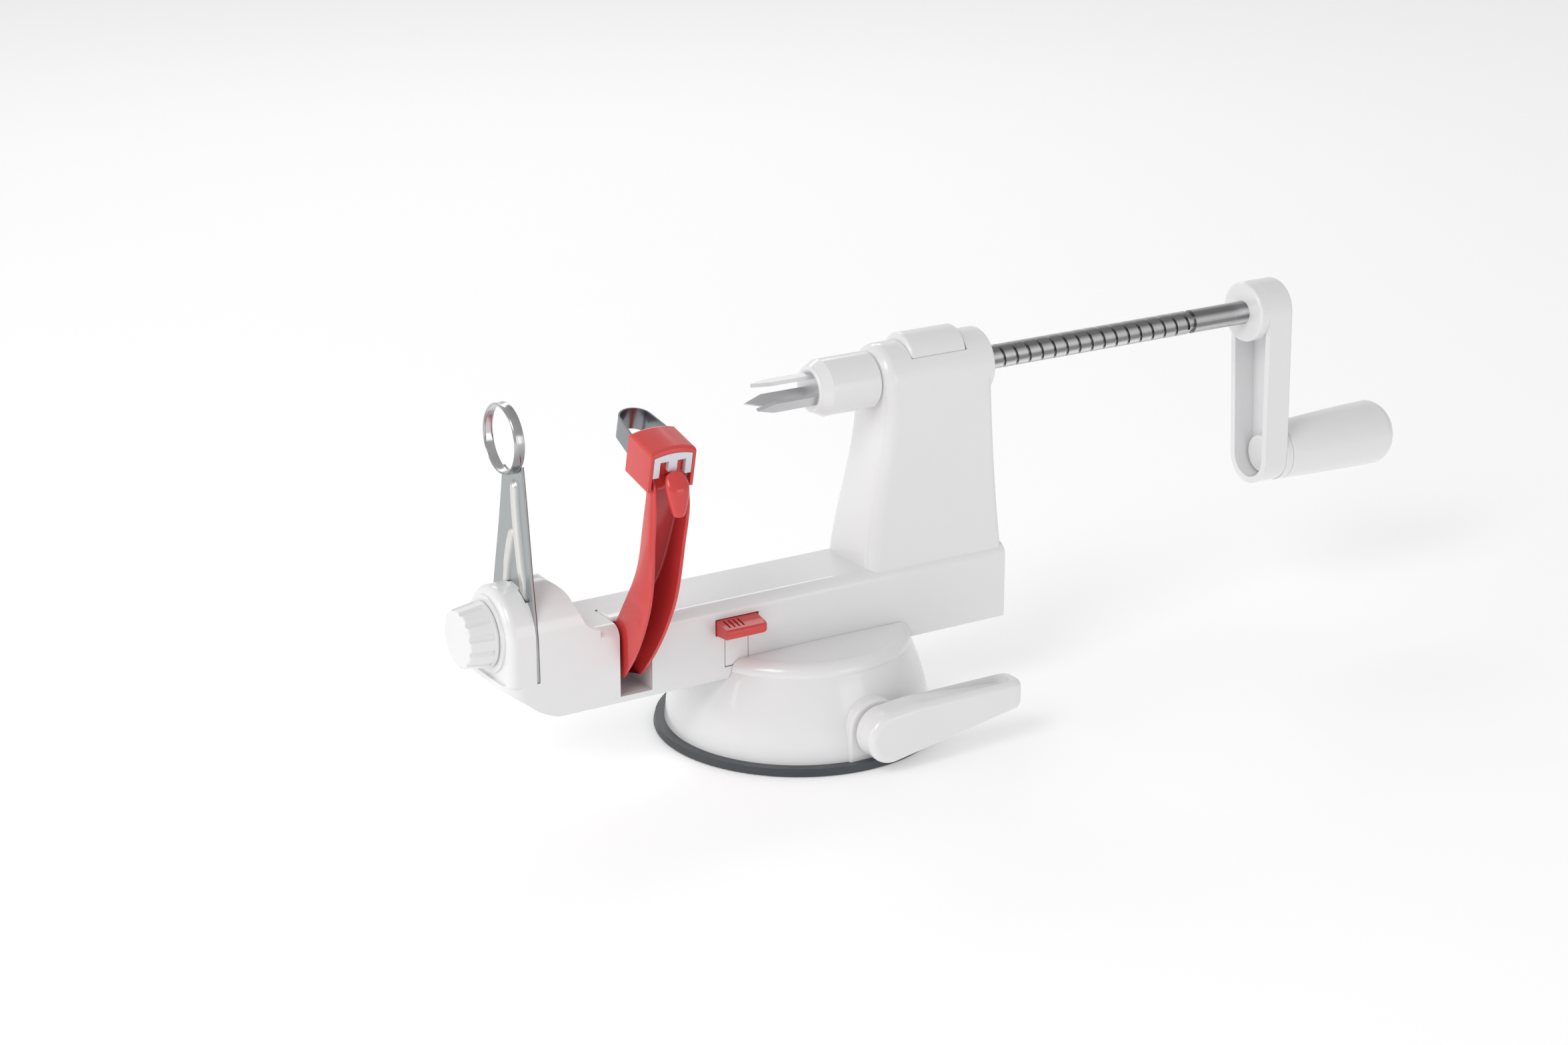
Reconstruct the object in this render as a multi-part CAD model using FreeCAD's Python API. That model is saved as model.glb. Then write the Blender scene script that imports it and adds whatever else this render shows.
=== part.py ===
import FreeCAD
import Part

import math
import os

# Hand cranked apple peeler on a suction foot. Millimetres, +Z up, +X along the spindle to the crank.
# The origin is the centre of the suction foot on the counter.

Vec = FreeCAD.Vector

# Suction foot
CUP_R = 59.4
CUP_RIM = 3.5
CUP_LIP = 7.0
CUP_HOLLOW = 2.2
CUP_ROOF = 5.6
CORE_R = 12.0
CORE_TOP = 9.0
CORE_LIFT = 3.1
STUD_PLATE = 5.0
STUD_RIM = 3.2

# Dome
DOME_R = 54.9
DOME_WAIST_R = 51.6
DOME_WAIST_Z = 22.0
DOME_SHOULDER_R = 46.2
DOME_SHOULDER_Z = 36.6
DOME_CROWN_R = 41.0
DOME_TOP = 42.2
DOME_WALL = 2.6
DOME_LIP = 6.0
SADDLE_FLOOR = 2.4
SADDLE_SIDE = 2.4
SADDLE_X = 47.0

# Suction lever and its cam shaft
LEVER_X = 2.5
LEVER_Z = 16.0
LEVER_HUB_R = 10.8
LEVER_FACE_Y = -55.5
LEVER_DEPTH = 13.5
LEVER_REACH = 63.0
LEVER_TOP = 11.8
LEVER_TIP_UNDER = 0.0
LEVER_TIP_ROUND = 5.0
LEVER_EDGE = 3.0
SCOOP_DEPTH = 3.6
SCOOP_START = 14.0
SCOOP_ROUND = 3.6
SCOOP_WALL = 2.4
BOSS_R = 12.0
SHAFT_R = 4.0
CAM_PIN_R = 2.5
CAM_THROW = 1.4
CAM_LENGTH = 7.0
CAM_SLOT_PLAY = 0.15
CAM_SLOT_ROOM = 0.5
BRACKET_Y = 10.0
BRACKET_WALL = 3.0
BRACKET_R = 6.4
PILLAR_R = 8.0
COLLAR_R = 5.3
DOME_RIB_LEFT = 38.0
COLLAR_LENGTH = 3.0

# Beam and tail
BEAM_HALF = 18.6
BEAM_LOW = 34.2
BEAM_TOP = 66.0
BEAM_RIGHT = 90.0
BEAM_EDGE = 5.0
WALL = 2.2
FLOOR = 2.4
HUMP_Z = 66.8
HUMP_FLAT_X = -117.8
HUMP_BROW_X = -113.0
HUMP_BROW_Z = 83.2
HUMP_MID_X = -110.6
HUMP_MID_Z = 78.6
HUMP_HEEL_X = -107.2
HUMP_HEEL_Z = 70.4
HUMP_FOOT_X = -100.5
LEDGE_X = -141.0
LEDGE_Z = 49.7
LEDGE_LIP = 2.0
TAIL_KNEE_X = -119.0
TAIL_ROUND = 8.0

# Tower and barrel
AXIS_Z = 141.5
BARREL_R = 14.2
BARREL_LEFT = 33.2
BARREL_RIGHT = 86.5
TOWER_RIGHT = 84.8
TOWER_FOOT_LEFT = 23.6
TOWER_FOOT_RIGHT = 89.7
TOWER_FOOT_HALF = 17.4
TOWER_WAIST_Z = 98.0
TOWER_WAIST_LEFT = 29.2
TOWER_WAIST_RIGHT = 87.4
TOWER_WAIST_HALF = 14.6
TOWER_ROUND = 5.0
TOWER_BREAK = 2.5
TOWER_STEP = 0.2
BARREL_END_ROUND = 5.0
BARREL_BREAK = 1.4
BUSH_R = 8.0
BUSH_LENGTH = 10.0
SLEEVE_LENGTH = 12.0

# Feed latch
LATCH_LEFT = 47.2
LATCH_RIGHT = 73.2
LATCH_HALF = 10.8
LATCH_SKIRT_Z = 150.5
LATCH_CROWN_Z = 158.6
LATCH_TRAVEL = 2.2
LATCH_EDGE = 1.4
LATCH_SLIT = 0.9
YOKE_HALF = 8.0
YOKE_THICK = 8.0
YOKE_DEPTH = 12.5
GUIDE_THICK = 4.0
TOOTH_X = 54.0
TOOTH_THICK = 0.8
TOOTH_WIDE = 3.0
TOOTH_REACH = 0.6
TOOTH_FOOT_R = 2.0

# Spindle
SPINDLE_R = 5.0
THREAD_PITCH = 6.4
THREAD_DEPTH = 1.0
THREAD_MOUTH = 1.5
THREAD_ROOT = 0.9
THREAD_START = 49.0
THREAD_END = 195.0
NECK_LENGTH = 3.0
SPINDLE_LEFT = 12.0
SPINDLE_RIGHT = 240.5
SPINDLE_CHAMFER = 0.8

# Fork
HUB_R = 11.7
HUB_LEFT = 5.0
HUB_GAP = 0.3
HUB_NOSE_R = 9.6
HUB_NOSE = 5.0
PRONG_COUNT = 3
PRONG_REACH = 27.0
PRONG_CIRCLE = 6.6
PRONG_WIDE = 5.0
PRONG_THICK = 1.6
PRONG_POINT = 8.0
FORK_DISC_R = 8.0
FORK_DISC = 1.6

# Crank
CRANK_BOSS_LEFT = 226.5
CRANK_BOSS_R = 13.0
CRANK_LEFT = 231.4
CRANK_RIGHT = 244.4
CRANK_HALF = 13.2
CRANK_FOOT_HALF = 12.0
CRANK_RADIUS = 65.8
CRANK_TURN = -2.6
CRANK_WALL = 2.8
CRANK_WEB = 2.6
CRANK_PIN_R = 1.3
CRANK_PIN_FRONT = 8.0
GRIP_PAD = 3.4
GRIP_GAP = 0.3
GRIP_COLLAR = 2.6
GRIP_LENGTH = 60.4
GRIP_ROOT_R = 12.6
GRIP_END_R = 14.4
GRIP_DOME = 7.0
GRIP_PIN_R = 4.0
GRIP_PIN_HEAD_R = 6.6
GRIP_PIN_HEAD = 2.4
GRIP_PIN_REACH = 40.0
GRIP_PIN_FOOT_R = 5.6
GRIP_PIN_FOOT = 3.0

# Peeling arm
ARM_X = -85.2
ARM_FOOT_Z = 43.0
ARM_FOOT_HALF = 4.7
ARM_TAPER = 0.037
ARM_WALL = 2.5
ARM_WEB = 2.4
ARM_PIVOT_Y = -8.0
ARM_PIVOT_Z = 50.0
ARM_HUB_R = 6.4
ARM_TOP_Z = 138.0
ARM_PIN_R = 2.0
SLOT_WIDE = 14.2
SLOT_GAP = 0.4
SLOT_ROUND = 2.5
ARM_COLLAR_R = 4.6
SLOT_BACK_Y = 2.0

# Peeling head
HEAD_Y = -40.8
HEAD_Z = 139.95
HEAD_TILT = 13.2
HEAD_WIDE = 19.2
HEAD_DEEP = 17.8
HEAD_TALL = 17.8
HEAD_WALL = 2.2
HEAD_EDGE = 1.8
HEAD_CROWN = 1.6
LOOP_HALF = 8.4
LOOP_TIP_R = 6.8
LOOP_REACH = 18.9
LOOP_TALL = 8.9
LOOP_STEEL = 0.7
LOOP_ROOT = 5.0
LOOP_DROP = 1.5
LOOP_TILT = 1.5
CLIP_WIDE = 16.2
CLIP_TALL = 8.4
CLIP_BAR = 2.6
CLIP_LEG = 2.6
CLIP_THICK = 2.0
CLIP_STEM = 3.6
CLIP_RIM = 2.0
CLIP_STEM_DROP = 2.0
CLIP_ARCH = 1.2
TAB_WIDE = 9.4
TAB_FOOT_WIDE = 4.2
TAB_TOP = 137.4
TAB_LOW = 119.3
TAB_FRONT = -56.0
TAB_THICK = 5.0
TAB_BROW = 3.4
TAB_EDGE = 2.0
TAB_NECK = 3.6
TAB_NECK_LOW = 131.0
TAB_NECK_TALL = 4.0
ARM_BRIDGE_Y = -46.0

# Release button on its sprung tongue
TONGUE_LEFT = -45.0
TONGUE_RIGHT = -34.7
TONGUE_LOW = 39.0
TONGUE_THICK = 1.8
TONGUE_GAP = 0.35
BUTTON_LEFT = -49.1
BUTTON_RIGHT = -29.9
BUTTON_LOW = 53.3
BUTTON_HIGH = 59.6
BUTTON_FRONT = 9.2
BUTTON_RISE = 0.9
BUTTON_FALL = 1.6
BUTTON_BACK = 6.2
BUTTON_EDGE = 1.3
BUTTON_CORNER = 3.0
BUTTON_GROOVES = 4
BUTTON_GROOVE = 0.8
BUTTON_GROOVE_STEP = 2.1

# Corer blade and its clamp
BLADE_FACE_X = -127.1
BLADE_STEEL = 1.2
BLADE_PROUD = 0.3
BLADE_LOW = 50.2
BLADE_NECK_Z = 136.0
BLADE_NECK_FRONT = 8.2
BLADE_NECK_BACK = 7.6
BLADE_SPLAY_Z = 79.0
BLADE_BEND_Z = 120.0
BLADE_LEAN = 1.0
RING_R = 14.0
RING_STEEL = 0.8
RING_LEFT = 5.5
RING_LIFT = 2.2
RING_WIDE = 4.4
RIB_RISE = 0.8
RIB_LOW = 57.0
RIB_A_TOP = 126.0
RIB_A_TOP_Y = -3.2
RIB_A_LOW_Y = -12.4
RIB_A_HALF = 2.8
RIB_B_TOP = 104.0
RIB_B_TOP_Y = 1.9
RIB_B_LOW_Y = 11.8
RIB_B_HALF = 3.2
CLAMP_THICK = 11.4
CLAMP_EDGE = 3.6
CLAMP_COLLAR_R = 15.4
CLAMP_COLLAR = 1.0
KNOB_LENGTH = 11.0
KNOB_ROOT_R = 13.2
KNOB_END_R = 11.7
KNOB_FLUTES = 12
KNOB_FLUTE_R = 1.6
KNOB_BORE_END = 3.0
STUD_R = 3.0
STUD_BOSS_R = 8.0
STUD_BOSS = 8.0
NUT_FLATS = 10.0
NUT_THICK = 5.0
WASHER_R = 7.0
WASHER = 1.0

# Screws
SCREW_R = 1.6
SCREW_HEAD_R = 3.2
SCREW_HEAD = 2.0
SCREW_BITE = 12.0
SCREW_BOSS_R = 4.0
RIB_THICK = 1.8
BASE_SCREW_X = 30.0
BASE_SCREW_Y = 9.0
FLOOR_SCREW_X = (-108.0, -66.0, 58.0, 78.0)

# Clearances
RUN = 0.05
FREE = 0.3
SNUG = 0.2

CLAMP_LEFT = BLADE_FACE_X - BLADE_STEEL - CLAMP_THICK
KNOB_RIGHT = CLAMP_LEFT - CLAMP_COLLAR - WASHER
KNOB_LEFT = KNOB_RIGHT - KNOB_LENGTH
CRANK_PIN_X = CRANK_LEFT + 3.0
GRIP_Z = AXIS_Z - CRANK_RADIUS
GRIP_PIN_LEFT = CRANK_RIGHT - CRANK_WEB - GRIP_PAD
GRIP_LEFT = CRANK_RIGHT + GRIP_COLLAR + GRIP_GAP
HUB_RIGHT = BARREL_LEFT - HUB_GAP
LEVER_BACK_Y = LEVER_FACE_Y - SNUG
SLOT_HALF = SLOT_WIDE / 2
FLOOR_TOP = BEAM_LOW + FLOOR


def box(x0, x1, y0, y1, z0, z1):
    return Part.makeBox(x1 - x0, y1 - y0, z1 - z0, Vec(x0, y0, z0))


def rod_x(x0, x1, y, z, r):
    return Part.makeCylinder(r, x1 - x0, Vec(x0, y, z), Vec(1, 0, 0))


def rod_y(x, y0, y1, z, r):
    return Part.makeCylinder(r, y1 - y0, Vec(x, y0, z), Vec(0, 1, 0))


def rod_z(x, y, z0, z1, r):
    return Part.makeCylinder(r, z1 - z0, Vec(x, y, z0), Vec(0, 0, 1))


def outline(start, *steps):
    """Closed wire from a start point; each step is an end point, or (through, end) for an arc."""
    edges = []
    here = start
    for step in steps:
        if isinstance(step, tuple):
            edges.append(Part.Arc(here, step[0], step[1]).toShape())
            here = step[1]
        else:
            edges.append(Part.LineSegment(here, step).toShape())
            here = step
    if here.distanceToPoint(start) > 1e-6:
        edges.append(Part.LineSegment(here, start).toShape())
    return Part.Wire(edges)


def prism(wire, along):
    return Part.Face(wire).extrude(along)


def in_xz(x, z, y=0.0):
    return Vec(x, y, z)


def in_yz(y, z, x=0.0):
    return Vec(x, y, z)


def fuse_all(first, *rest):
    return first.fuse(list(rest)).removeSplitter()


def round_edges(shape, radius, picks):
    """Rounds the edges whose middle point and direction the test accepts."""
    chosen = []
    for edge in shape.Edges:
        middle = edge.valueAt((edge.FirstParameter + edge.LastParameter) / 2)
        first, last = edge.valueAt(edge.FirstParameter), edge.valueAt(edge.LastParameter)
        run = last - first
        if picks(middle, run, edge):
            chosen.append(edge)
    return shape.makeFillet(radius, chosen)


def along(run, axis):
    length = run.Length
    return length > 1e-6 and abs(abs(run.dot(axis)) - length) < 1e-4 * length


# Suction foot


def suction_cup():
    """Rubber foot: a rim that seals, a hollow underside and a hole for the centre that lifts."""
    inner = CORE_R + FREE
    wire = outline(
        in_xz(CUP_R - CUP_LIP, 0),
        in_xz(CUP_R - 1.0, 0),
        (in_xz(CUP_R - 0.3, 0.3), in_xz(CUP_R, 1.0)),
        in_xz(CUP_R - 0.6, CUP_RIM),
        in_xz(DOME_R - DOME_LIP, CUP_RIM),
        in_xz(DOME_R - DOME_LIP - 2.0, CUP_ROOF),
        in_xz(inner, CUP_ROOF),
        in_xz(inner, CUP_HOLLOW + 0.6),
        (in_xz((inner + CUP_R) / 2, CUP_HOLLOW), in_xz(CUP_R - CUP_LIP, 0)),
    )
    return Part.Face(wire).revolve(Vec(0, 0, 0), Vec(0, 0, 1), 360)


def cup_core():
    """Raised centre of the rubber foot, pulled up by the stud."""
    core = rod_z(0, 0, CORE_LIFT, CORE_TOP, CORE_R)
    return round_edges(core, 1.0, lambda m, run, e: m.z > CORE_TOP - 0.01 and e.Length > 10)


def cup_stud():
    """Steel stud moulded on the foot's centre, with the slot that the cam pin runs in."""
    pin_z = LEVER_Z + CAM_THROW
    slot_left = LEVER_X - CAM_THROW - CAM_PIN_R - 2 * CAM_SLOT_PLAY
    slot_right = LEVER_X + CAM_PIN_R + 2 * CAM_SLOT_PLAY
    slot_low = pin_z - CAM_PIN_R - CAM_SLOT_PLAY
    slot_high = pin_z + CAM_PIN_R + CAM_SLOT_ROOM
    half = STUD_PLATE / 2
    flange = rod_z(0, 0, CORE_TOP, CORE_TOP + 1.4, CORE_R - 3.0)
    head = box(slot_left - STUD_RIM, slot_right + STUD_RIM, -half, half,
               CORE_TOP + 1.4, slot_high + STUD_RIM)
    head = round_edges(head, STUD_RIM, lambda m, run, e: along(run, Vec(0, 1, 0)) and m.z > slot_high)
    slot = box(slot_left, slot_right, -half - 1, half + 1, slot_low, slot_high)
    return fuse_all(flange, head).cut(slot)


def dome_skin(inset):
    """Solid under the dome's outer skin, or under the skin moved in by the wall."""
    wire = outline(
        in_xz(0, CUP_RIM),
        in_xz(DOME_R - inset, CUP_RIM),
        in_xz(DOME_R - 0.7 - inset, CUP_RIM + 6.5),
        (in_xz(DOME_WAIST_R - inset, DOME_WAIST_Z), in_xz(DOME_SHOULDER_R - inset, DOME_SHOULDER_Z)),
        (in_xz((DOME_SHOULDER_R + DOME_CROWN_R) / 2 + 1.2 - inset, DOME_TOP - 1.6 - inset / 2),
         in_xz(DOME_CROWN_R - inset, DOME_TOP - 0.4 - inset)),
        in_xz(0, DOME_TOP - inset),
    )
    return Part.Face(wire).revolve(Vec(0, 0, 0), Vec(0, 0, 1), 360)


def lever_boss(grow, back):
    """Arched pad on the dome's front that the lever turns against."""
    wide = BOSS_R + grow
    wire = outline(
        in_xz(LEVER_X - wide, CUP_RIM, LEVER_FACE_Y),
        in_xz(LEVER_X - wide, LEVER_Z, LEVER_FACE_Y),
        (in_xz(LEVER_X, LEVER_Z + wide, LEVER_FACE_Y), in_xz(LEVER_X + wide, LEVER_Z, LEVER_FACE_Y)),
        in_xz(LEVER_X + wide, CUP_RIM, LEVER_FACE_Y),
    )
    return prism(wire, Vec(0, back - LEVER_FACE_Y, 0))


def shaft_bracket(y0, y1, floor_z):
    """Bearing plate that hangs from the saddle and carries the cam shaft."""
    wire = outline(
        in_xz(LEVER_X - BRACKET_R, floor_z, y0),
        in_xz(LEVER_X - BRACKET_R, LEVER_Z, y0),
        (in_xz(LEVER_X, LEVER_Z - BRACKET_R, y0), in_xz(LEVER_X + BRACKET_R, LEVER_Z, y0)),
        in_xz(LEVER_X + BRACKET_R, floor_z, y0),
    )
    return prism(wire, Vec(0, y1 - y0, 0))


def base_dome():
    """Moulded dome: thin wall, saddle for the beam, lever boss and brackets for the cam shaft."""
    outer = dome_skin(0)
    under = BEAM_LOW - SADDLE_FLOOR
    side = BEAM_HALF + SNUG + SADDLE_SIDE
    boss = round_edges(lever_boss(0, LEVER_FACE_Y + 14), 1.2,
                       lambda m, run, e: m.y < LEVER_FACE_Y + 0.01 and m.z > CUP_RIM + 0.01)
    shell = outer.fuse(boss).cut(dome_skin(DOME_WALL))
    saddle = box(-SADDLE_X, SADDLE_X, -side, side, under, DOME_TOP).common(outer)
    pillar = rod_y(LEVER_X, LEVER_FACE_Y + 1.0, LEVER_FACE_Y + 14.0, LEVER_Z, PILLAR_R)
    pillar = pillar.common(fuse_all(outer, boss))
    front = shaft_bracket(-BRACKET_Y - BRACKET_WALL, -BRACKET_Y, under)
    back = shaft_bracket(BRACKET_Y, BRACKET_Y + BRACKET_WALL, under)
    ribs = []
    for index in range(8):
        rib = box(DOME_RIB_LEFT, DOME_R - 1.0, -0.9, 0.9, BEAM_LOW - 12.0, DOME_TOP)
        rib.rotate(Vec(0, 0, 0), Vec(0, 0, 1), 22.5 + 45.0 * index)
        ribs.append(rib.common(outer))
    dome = shell.fuse([saddle, pillar, front, back] + ribs)
    beam_seat = box(-DOME_R - 1, DOME_R + 1, -BEAM_HALF - SNUG, BEAM_HALF + SNUG, BEAM_LOW, DOME_TOP + 5)
    bore = rod_y(LEVER_X, LEVER_FACE_Y - 1, BRACKET_Y + BRACKET_WALL + 1, LEVER_Z, SHAFT_R + RUN)
    return dome.cut([beam_seat, bore] + base_screw_holes()).removeSplitter()


def base_screw_places():
    return [(sx * BASE_SCREW_X, sy * BASE_SCREW_Y) for sx in (-1, 1) for sy in (-1, 1)]


def base_screw_holes():
    under = BEAM_LOW - SADDLE_FLOOR
    return [rod_z(x, y, under - 1, BEAM_LOW + 1, SCREW_R + SNUG) for x, y in base_screw_places()]


def cam_shaft():
    """Steel shaft behind the lever, with the offset pin that lifts the stud."""
    half = CAM_LENGTH / 2
    front = LEVER_BACK_Y - LEVER_DEPTH + 4.0
    body = rod_y(LEVER_X, front, -half, LEVER_Z, SHAFT_R)
    pin = rod_y(LEVER_X, -half, half, LEVER_Z + CAM_THROW, CAM_PIN_R)
    tail = rod_y(LEVER_X, half, BRACKET_Y + BRACKET_WALL + 2.0, LEVER_Z, SHAFT_R)
    collar = rod_y(LEVER_X, -BRACKET_Y + FREE, -BRACKET_Y + FREE + COLLAR_LENGTH, LEVER_Z, COLLAR_R)
    key = box(LEVER_X - SHAFT_R - 1, LEVER_X + SHAFT_R + 1, front - 1, LEVER_BACK_Y - 1.0,
              LEVER_Z + SHAFT_R - 1.2, LEVER_Z + SHAFT_R + 1)
    return fuse_all(body, pin, tail, collar).cut(key)


def suction_lever():
    """Lever with a round hub, a tapering arm and a finger scoop in its top."""
    tip = LEVER_X + LEVER_REACH
    top = LEVER_Z + LEVER_TOP
    under = LEVER_Z + LEVER_TIP_UNDER
    lean = math.atan2(LEVER_HUB_R + LEVER_TIP_UNDER, LEVER_REACH)
    low = Vec(LEVER_X + LEVER_HUB_R * math.sin(lean), LEVER_BACK_Y, LEVER_Z - LEVER_HUB_R * math.cos(lean))
    left = Vec(LEVER_X - LEVER_HUB_R, LEVER_BACK_Y, LEVER_Z)
    crest = Vec(LEVER_X, LEVER_BACK_Y, LEVER_Z + LEVER_HUB_R)
    turn = math.pi / 4
    upper = Vec(LEVER_X - LEVER_HUB_R * math.cos(turn), LEVER_BACK_Y, LEVER_Z + LEVER_HUB_R * math.sin(turn))
    lower = Vec(LEVER_X - LEVER_HUB_R * math.cos(turn), LEVER_BACK_Y, LEVER_Z - LEVER_HUB_R * math.sin(turn))
    wire = outline(
        low,
        in_xz(tip, under, LEVER_BACK_Y),
        in_xz(tip, top, LEVER_BACK_Y),
        in_xz(LEVER_X + LEVER_HUB_R, top, LEVER_BACK_Y),
        crest,
        (upper, left),
        (lower, low),
    )
    body = prism(wire, Vec(0, -LEVER_DEPTH, 0))
    body = round_edges(body, LEVER_TIP_ROUND,
                       lambda m, run, e: m.x > tip - 0.01 and along(run, Vec(0, 0, 1)))
    front = LEVER_BACK_Y - LEVER_DEPTH
    body = round_edges(body, LEVER_EDGE, lambda m, run, e: m.y < front + 0.01)
    scoop_end = tip - LEVER_TIP_ROUND
    slope = outline(
        in_xz(LEVER_X + SCOOP_START, top + 1, LEVER_BACK_Y - SCOOP_WALL),
        in_xz(LEVER_X + SCOOP_START, top, LEVER_BACK_Y - SCOOP_WALL),
        in_xz(scoop_end, top - SCOOP_DEPTH, LEVER_BACK_Y - SCOOP_WALL),
        in_xz(scoop_end, top + 1, LEVER_BACK_Y - SCOOP_WALL),
    )
    scoop = prism(slope, Vec(0, 2 * SCOOP_WALL - LEVER_DEPTH, 0))
    scoop = round_edges(scoop, SCOOP_ROUND,
                        lambda m, run, e: m.x > scoop_end - 0.01 and along(run, Vec(0, 0, 1)))
    bore = rod_y(LEVER_X, front + 4.0, LEVER_BACK_Y + 1, LEVER_Z, SHAFT_R)
    flat = box(LEVER_X - SHAFT_R, LEVER_X + SHAFT_R, front + 3.0, LEVER_BACK_Y - 1.0,
               LEVER_Z + SHAFT_R - 1.2, LEVER_Z + SHAFT_R + 0.5)
    return body.cut(scoop).cut(bore.cut(flat))


# Frame: beam, tail and tower in one moulding


def beam_block(inset):
    """Beam under its rounded top edges, moved in by the wall."""
    half = BEAM_HALF - inset
    block = box(HUMP_FOOT_X - 6.0, BEAM_RIGHT - inset, -half, half, BEAM_LOW, BEAM_TOP - inset)
    top = BEAM_TOP - inset
    radius = BEAM_EDGE - inset
    return round_edges(block, radius, lambda m, run, e: m.z > top - 0.01 and along(run, Vec(1, 0, 0)))


def tail_block(inset):
    """Tail: raised underside, ledge for the clamp and the hump that holds the corer blade."""
    half = BEAM_HALF - inset
    top = HUMP_Z + BEAM_HALF - inset
    face = BLADE_FACE_X + inset
    foot = BEAM_TOP - inset - 0.1
    heel_x = HUMP_HEEL_X - inset
    turn_x = (heel_x + HUMP_FOOT_X - inset) / 2 - 0.6
    turn_z = (HUMP_HEEL_Z + foot - inset) / 2 - 0.6
    wire = outline(
        in_xz(face, BEAM_LOW + 8.0, -half),
        in_xz(face, top, -half),
        in_xz(HUMP_FLAT_X - inset, top, -half),
        (in_xz(HUMP_BROW_X - inset, HUMP_BROW_Z - inset, -half),
         in_xz(HUMP_MID_X - inset, HUMP_MID_Z - inset, -half)),
        in_xz(heel_x, HUMP_HEEL_Z - inset, -half),
        (in_xz(turn_x, turn_z, -half), in_xz(HUMP_FOOT_X, foot, -half)),
        in_xz(HUMP_FOOT_X, BEAM_LOW, -half),
        in_xz(TAIL_KNEE_X + inset, BEAM_LOW, -half),
    )
    side = prism(wire, Vec(0, 2 * half, 0))
    arch = outline(
        in_yz(-half, BEAM_LOW - 1, LEDGE_X - 1),
        in_yz(-half, HUMP_Z, LEDGE_X - 1),
        (in_yz(0, HUMP_Z + half, LEDGE_X - 1), in_yz(half, HUMP_Z, LEDGE_X - 1)),
        in_yz(half, BEAM_LOW - 1, LEDGE_X - 1),
    )
    return side.common(prism(arch, Vec(HUMP_FOOT_X + 2.0 - LEDGE_X, 0, 0)))


def tail_ledge():
    """Ledge under the clamp, with the underside that sweeps up to its tip."""
    wire = outline(
        in_xz(TAIL_KNEE_X + 6.0, BEAM_LOW, -BEAM_HALF),
        in_xz(TAIL_KNEE_X, BEAM_LOW, -BEAM_HALF),
        (in_xz(TAIL_KNEE_X - 7.6, BEAM_LOW + 3.0, -BEAM_HALF),
         in_xz(TAIL_KNEE_X - 13.3, BEAM_LOW + 7.3, -BEAM_HALF)),
        in_xz(LEDGE_X, LEDGE_Z - LEDGE_LIP, -BEAM_HALF),
        in_xz(LEDGE_X, LEDGE_Z, -BEAM_HALF),
        in_xz(TAIL_KNEE_X + 6.0, LEDGE_Z, -BEAM_HALF),
    )
    ledge = prism(wire, Vec(0, 2 * BEAM_HALF, 0))
    plan = box(LEDGE_X, TAIL_KNEE_X + 20.0, -BEAM_HALF, BEAM_HALF, BEAM_LOW - 1, LEDGE_Z + 1)
    plan = round_edges(plan, TAIL_ROUND,
                       lambda m, run, e: m.x < LEDGE_X + 0.01 and along(run, Vec(0, 0, 1)))
    return ledge.common(plan)


def rounded_section(x0, x1, half, z, left, right):
    """Closed wire of a rectangle at one height, its corners round by one radius at each end."""
    cut_l = left * (1 - math.sqrt(0.5))
    cut_r = right * (1 - math.sqrt(0.5))
    return outline(
        Vec(x0 + left, -half, z),
        Vec(x1 - right, -half, z),
        (Vec(x1 - cut_r, -half + cut_r, z), Vec(x1, -half + right, z)),
        Vec(x1, half - right, z),
        (Vec(x1 - cut_r, half - cut_r, z), Vec(x1 - right, half, z)),
        Vec(x0 + left, half, z),
        (Vec(x0 + cut_l, half - cut_l, z), Vec(x0, half - left, z)),
        Vec(x0, -half + left, z),
        (Vec(x0 + cut_l, -half + cut_l, z), Vec(x0 + left, -half, z)),
    )


def tower_loft(inset, low, high):
    """Tower that flares towards the beam, moved in by the wall."""
    top_half = BARREL_R - TOWER_STEP
    sections = [
        (TOWER_FOOT_LEFT, TOWER_FOOT_RIGHT, TOWER_FOOT_HALF, low),
        (TOWER_WAIST_LEFT, TOWER_WAIST_RIGHT, TOWER_WAIST_HALF, TOWER_WAIST_Z),
        (BARREL_LEFT, (TOWER_WAIST_RIGHT + TOWER_RIGHT) / 2, top_half, (TOWER_WAIST_Z + AXIS_Z) / 2),
        (BARREL_LEFT, TOWER_RIGHT, top_half, high),
    ]
    wires = []
    for left, right, half, z in sections:
        wires.append(rounded_section(left + inset, right - inset, half - inset, z,
                                     TOWER_ROUND - inset, TOWER_BREAK - inset))
    return Part.makeLoft(wires, True, False)


def barrel_solid():
    """Round housing of the spindle across the tower's top."""
    body = rod_x(BARREL_LEFT, BARREL_RIGHT, 0, AXIS_Z, BARREL_R)
    body = round_edges(body, BARREL_END_ROUND, lambda m, run, e: e.Length > 10 and m.x < BARREL_LEFT + 0.01)
    return round_edges(body, BARREL_BREAK, lambda m, run, e: e.Length > 10 and m.x > BARREL_RIGHT - 0.01)


def latch_room():
    """Room in the barrel for the latch: window on top, yoke well below."""
    window = box(LATCH_LEFT - SNUG, LATCH_RIGHT + LATCH_SLIT, -LATCH_HALF - SNUG, LATCH_HALF + SNUG,
                 LATCH_SKIRT_Z - LATCH_TRAVEL - FREE, AXIS_Z + BARREL_R + 5)
    well = box(LATCH_LEFT + 1.0, LATCH_RIGHT - 1.0, -YOKE_HALF - FREE, YOKE_HALF + FREE,
               AXIS_Z - YOKE_DEPTH - LATCH_TRAVEL - FREE, LATCH_SKIRT_Z)
    return [window, well]


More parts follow.
